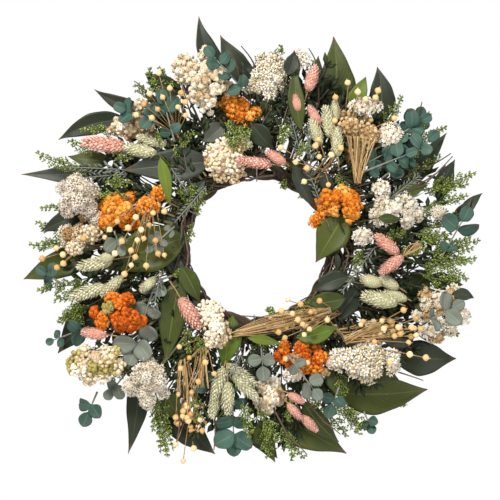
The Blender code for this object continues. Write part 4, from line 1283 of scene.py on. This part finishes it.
def make_twigs():
    """Bare bent twigs, each with a stalk in to the ring."""
    shapes = []
    for index, (path, forward) in enumerate(TWIGS):
        corners = [spot(x, z, forward + 2 * step) for step, (x, z) in enumerate(path)]
        line = np.vstack((bent_line(corners[0], corners[1], (0, 0, 0.001), 5)[:-1],
                          bent_line(corners[1], corners[2], (0.001, 0, 0), 5)))
        shapes.append(moved(tube(line, np.linspace(0.0013, 0.0006, len(line)), 6), tone=0.3 + 0.02 * index))
        shapes.append(stalk_to_ring(corners[0], 0.0013, 0.036))
    add_piece("twigs", join(shapes), TWIG, "vine")


BED_SPRIGS, BED_FRONDS, RIM_PIECES = 400, 40, 64


def make_bed():
    """In the place of the frame's bed: bound stalks, dark filler leaves, and greens in a darker copy of their colour,
    which is painted shade.
    """
    rng = np.random.default_rng(33)
    origins, axes, scales, stalks, fronds = [], [], [], [], []
    for index in range(BED_SPRIGS):
        clock = GOLDEN * index
        start_out = rng.uniform(104, 180)
        reach = rng.uniform(32, 58)
        over_loop = abs(math.cos(clock)) < 0.3 and math.sin(clock) > 0.0
        forward = rng.uniform(28, 44) if start_out < 124 or over_loop else rng.uniform(15, 33)
        lean = rng.normal(0, 0.5)
        out = np.array((math.cos(clock), 0.0, math.sin(clock)))
        way = unit(out * math.cos(lean) + np.cross(FRONT, out) * math.sin(lean) + FRONT * 0.1)
        foot = np.array((RING_X, DOOR_Y, RING_Z)) + out * start_out * MM + FRONT * forward * MM
        tip = foot + way * reach * MM
        line = bent_line(foot, tip, FRONT * 0.003, 5)
        across = np.cross(FRONT, way)
        stalks.append(moved(tube(line, 0.0008, 4), tone=rng.uniform(0, 1)))
        if index % 4 == 0:
            stalks.append(stalk_to_ring(foot, 0.0014, forward * MM))
        for step in range(9):
            side = (-1, 1)[step % 2] if step < 8 else 0
            origins.append(line[min(4, step // 2 + 1)])
            axes.append(axes_along(way + across * side * rng.uniform(0.5, 1.1) + FRONT * rng.normal(0, 0.3),
                                   FRONT + rng.normal(0, 0.4, 3)))
            scales.append(rng.uniform(13, 21) * MM)
    leaves = scattered(petal(1.0, 0.36, 0.04, 0.08), origins, axes, scales, rng.uniform(0, 1, len(origins)))
    add_piece("bed_leaves", leaves, FILL_LEAF, "bed", ["stem_bed"])
    add_piece("bed_stalks", join(stalks), TWIG, "bed")
    for index in range(BED_FRONDS):
        clock = math.tau * (index + rng.uniform(-0.3, 0.3)) / BED_FRONDS
        out = rng.uniform(104, 140)
        reach = out + rng.uniform(46, 80)
        turn = clock + rng.normal(0, 0.16)
        fronds.append(frond(spot(out * math.cos(clock), out * math.sin(clock), 38),
                            spot(reach * math.cos(turn), reach * math.sin(turn), rng.uniform(22, 46)),
                            0.017, 900 + index, 0.55, 5.0)[0])
    # the bed greens take the darker copy of the greens, painted shade
    add_piece("bed_greens", join(fronds), SHADED_GREENS, "bed")


def make_rim():
    """Leaves, greens and stalks laid along the front of the ring, close in to the hole."""
    rng = np.random.default_rng(35)
    leaves, stalks, fronds = [], [], []
    for index in range(RIM_PIECES):
        clock = math.tau * (index + rng.uniform(-0.4, 0.4)) / RIM_PIECES
        out = rng.uniform(94, 122)
        turn = clock + rng.choice((-1, 1)) * rng.uniform(0.22, 0.40)
        reach = rng.uniform(86, 122)
        forward = rng.uniform(40, 47)
        foot = spot(out * math.cos(clock), out * math.sin(clock), forward)
        tip = spot(reach * math.cos(turn), reach * math.sin(turn), forward - 1)
        length = np.linalg.norm(tip - foot)
        if index % 2:
            leaf = leaf_shape(length, rng.uniform(0.24, 0.42) * length, 0.10 * length, 0.2, -0.003, index)
            leaves.append(moved(leaf, foot, axes_along(tip - foot, FRONT + rng.normal(0, 0.3, 3)),
                                tone=rng.uniform(0, 1)))
        else:
            fronds.append(frond(foot, tip, 0.010, 1000 + index, 0.8, 4.4)[0])
        stalks.append(tube(bent_line(foot, tip, rng.normal(0, 0.003, 3), 6), 0.0007, 4))
    add_piece("rim_leaves", join(leaves), LEAF_DARK, "leaf_dark")
    # the rim greens take the darker copy of the greens, painted shade
    add_piece("rim_greens", join(fronds), SHADED_GREENS, "bed")
    add_piece("rim_stalks", join(stalks), TWIG, "vine")


# ---- the vine ring and the wires -----------------------------------------------------------

def round_the_ring(clock, twist, offset):
    """Points that go round the ring once while they wind about its middle line."""
    out = RING_RADIUS + offset * np.cos(twist)
    return np.column_stack((RING_X + out * np.cos(clock), RING_Y + offset * np.sin(twist),
                            RING_Z + out * np.sin(clock)))


def make_vine():
    """Twisted bark strands in the places of the frame's, with thin tendrils wound round them."""
    steps, sides = 240, 9
    clock = math.tau * np.arange(steps) / steps
    turn = math.tau * np.arange(sides) / sides
    strand_radius = STRAND_SHARE * BUNDLE_RADIUS
    offset = BUNDLE_RADIUS - strand_radius
    rng = np.random.default_rng(34)
    for index in range(3):
        twist = math.tau * index / 3 + STRAND_TURNS * clock
        points = round_the_ring(clock, twist, offset)
        ridges = 0.06 * np.cos(4 * turn[None, :] + 9.0 * clock[:, None]) + 0.04 * np.sin(31.0 * clock)[:, None]
        knots = 0.10 * np.exp(-((clock[:, None] - rng.uniform(*ANY_TURN, 5)[None, :]) / 0.03) ** 2).sum(axis=1)
        radii = strand_radius * (0.93 + ridges + knots[:, None] + rng.normal(0, 0.015, (steps, sides)))
        add_piece(f"look_vine_strand_{index + 1}", outward(ring_tube(points, radii, sides)), BARK, "vine",
                  [f"vine_strand_{index + 1}"])
    tendrils = []
    for index in range(11):
        winds = int(rng.integers(2, 8)) * (1 if index % 2 else -1)
        twist = rng.uniform(*ANY_TURN) + winds * clock
        lift = BUNDLE_RADIUS * (0.92 + 0.10 * np.sin(int(rng.integers(2, 9)) * clock + index))
        points = round_the_ring(clock, twist, lift)
        radii = rng.uniform(0.0007, 0.0016) * (1.0 + rng.normal(0, 0.05, (steps, 4)))
        tendrils.append(moved(outward(ring_tube(points, radii, 4)), tone=rng.uniform(0, 1)))
    add_piece("vine_tendrils", join(tendrils), TWIG, "vine")
    for node in ("tie_wire_1", "tie_wire_2", "tie_wire_3", "hanger_eye", "hang_loop"):
        materials = frame["nodes"][node].data.materials
        materials.clear()
        materials.append(WIRE)


# ---- the room ------------------------------------------------------------------------------

def area_light(name, place, target, size, power, colour=(1.0, 1.0, 1.0)):
    data = bpy.data.lights.new(name, "AREA")
    data.shape, data.size, data.energy, data.color = "DISK", size, power, colour
    light = bpy.data.objects.new(name, data)
    light.location = place
    light.rotation_euler = (Vector(target) - Vector(place)).to_track_quat("-Z", "Y").to_euler()
    bpy.context.scene.collection.objects.link(light)
    return light


CAMERA_LENS = 106.2
CAMERA_AWAY = 1.8


def make_room():
    """A pale floor well below, a white surround for the camera, and soft light from the front."""
    bpy.ops.mesh.primitive_plane_add(size=2.6, location=(RING_X, 0.0, RING_Z - 0.66))
    floor = bpy.context.object
    floor.name = "floor"
    n = Nodes("floor", 0.8)
    floor.data.materials.append(n.finish(n.ramp(n.noise(3.0), ((0.3, (0.80, 0.80, 0.79)), (0.7, (0.84, 0.84, 0.83))))))
    target = (RING_X, DOOR_Y, RING_Z)
    lights = [
        area_light("key", (RING_X - 0.9, -1.7, RING_Z + 1.4), target, 0.9, 66.0, (1.0, 0.965, 0.91)),
        area_light("fill", (RING_X + 1.5, -1.6, RING_Z + 0.2), target, 1.6, 20.0),
        area_light("back", (RING_X + 0.8, 1.8, RING_Z + 1.3), target, 1.4, 22.0),
    ]
    world = bpy.data.worlds.new("surround")
    bpy.context.scene.world = world
    world.use_nodes = True
    tree = world.node_tree
    tree.nodes.clear()
    seen = tree.nodes.new("ShaderNodeBackground")
    seen.inputs["Color"].default_value = (1, 1, 1, 1)
    seen.inputs["Strength"].default_value = 1.0
    ambient = tree.nodes.new("ShaderNodeBackground")
    ambient.inputs["Color"].default_value = (1.0, 0.98, 0.94, 1)
    ambient.inputs["Strength"].default_value = 0.42
    path = tree.nodes.new("ShaderNodeLightPath")
    mixed = tree.nodes.new("ShaderNodeMixShader")
    out = tree.nodes.new("ShaderNodeOutputWorld")
    tree.links.new(path.outputs["Is Camera Ray"], mixed.inputs[0])
    tree.links.new(ambient.outputs[0], mixed.inputs[1])
    tree.links.new(seen.outputs[0], mixed.inputs[2])
    tree.links.new(mixed.outputs[0], out.inputs["Surface"])
    data = bpy.data.cameras.new("camera")
    data.sensor_width = 36.0
    data.lens = CAMERA_LENS
    camera = bpy.data.objects.new("camera", data)
    camera.location = (RING_X - 0.0092, DOOR_Y - 0.035 - CAMERA_AWAY, RING_Z - 0.0024)
    camera.rotation_euler = (math.radians(90.0), 0.0, 0.0)
    bpy.context.scene.collection.objects.link(camera)
    bpy.context.scene.camera = camera
    bpy.context.scene.view_settings.view_transform = "Standard"


make_vine()
make_bed()
make_rim()
make_leaves()
make_more_leaves()
make_clusters()
make_blobs()
FLAX_PODS = (("flax_lower_left", 44), ("flax_upper_right", 46), ("flax_bottom", 30), ("flax_lower_right", 38))
for seed, (bunch, pods) in enumerate(FLAX_PODS):
    make_flax(bunch, pods, 200 + seed)
make_loose_pods()
make_grasses()
make_eucalyptus()
make_greens()
make_sprays()
make_twigs()
make_room()
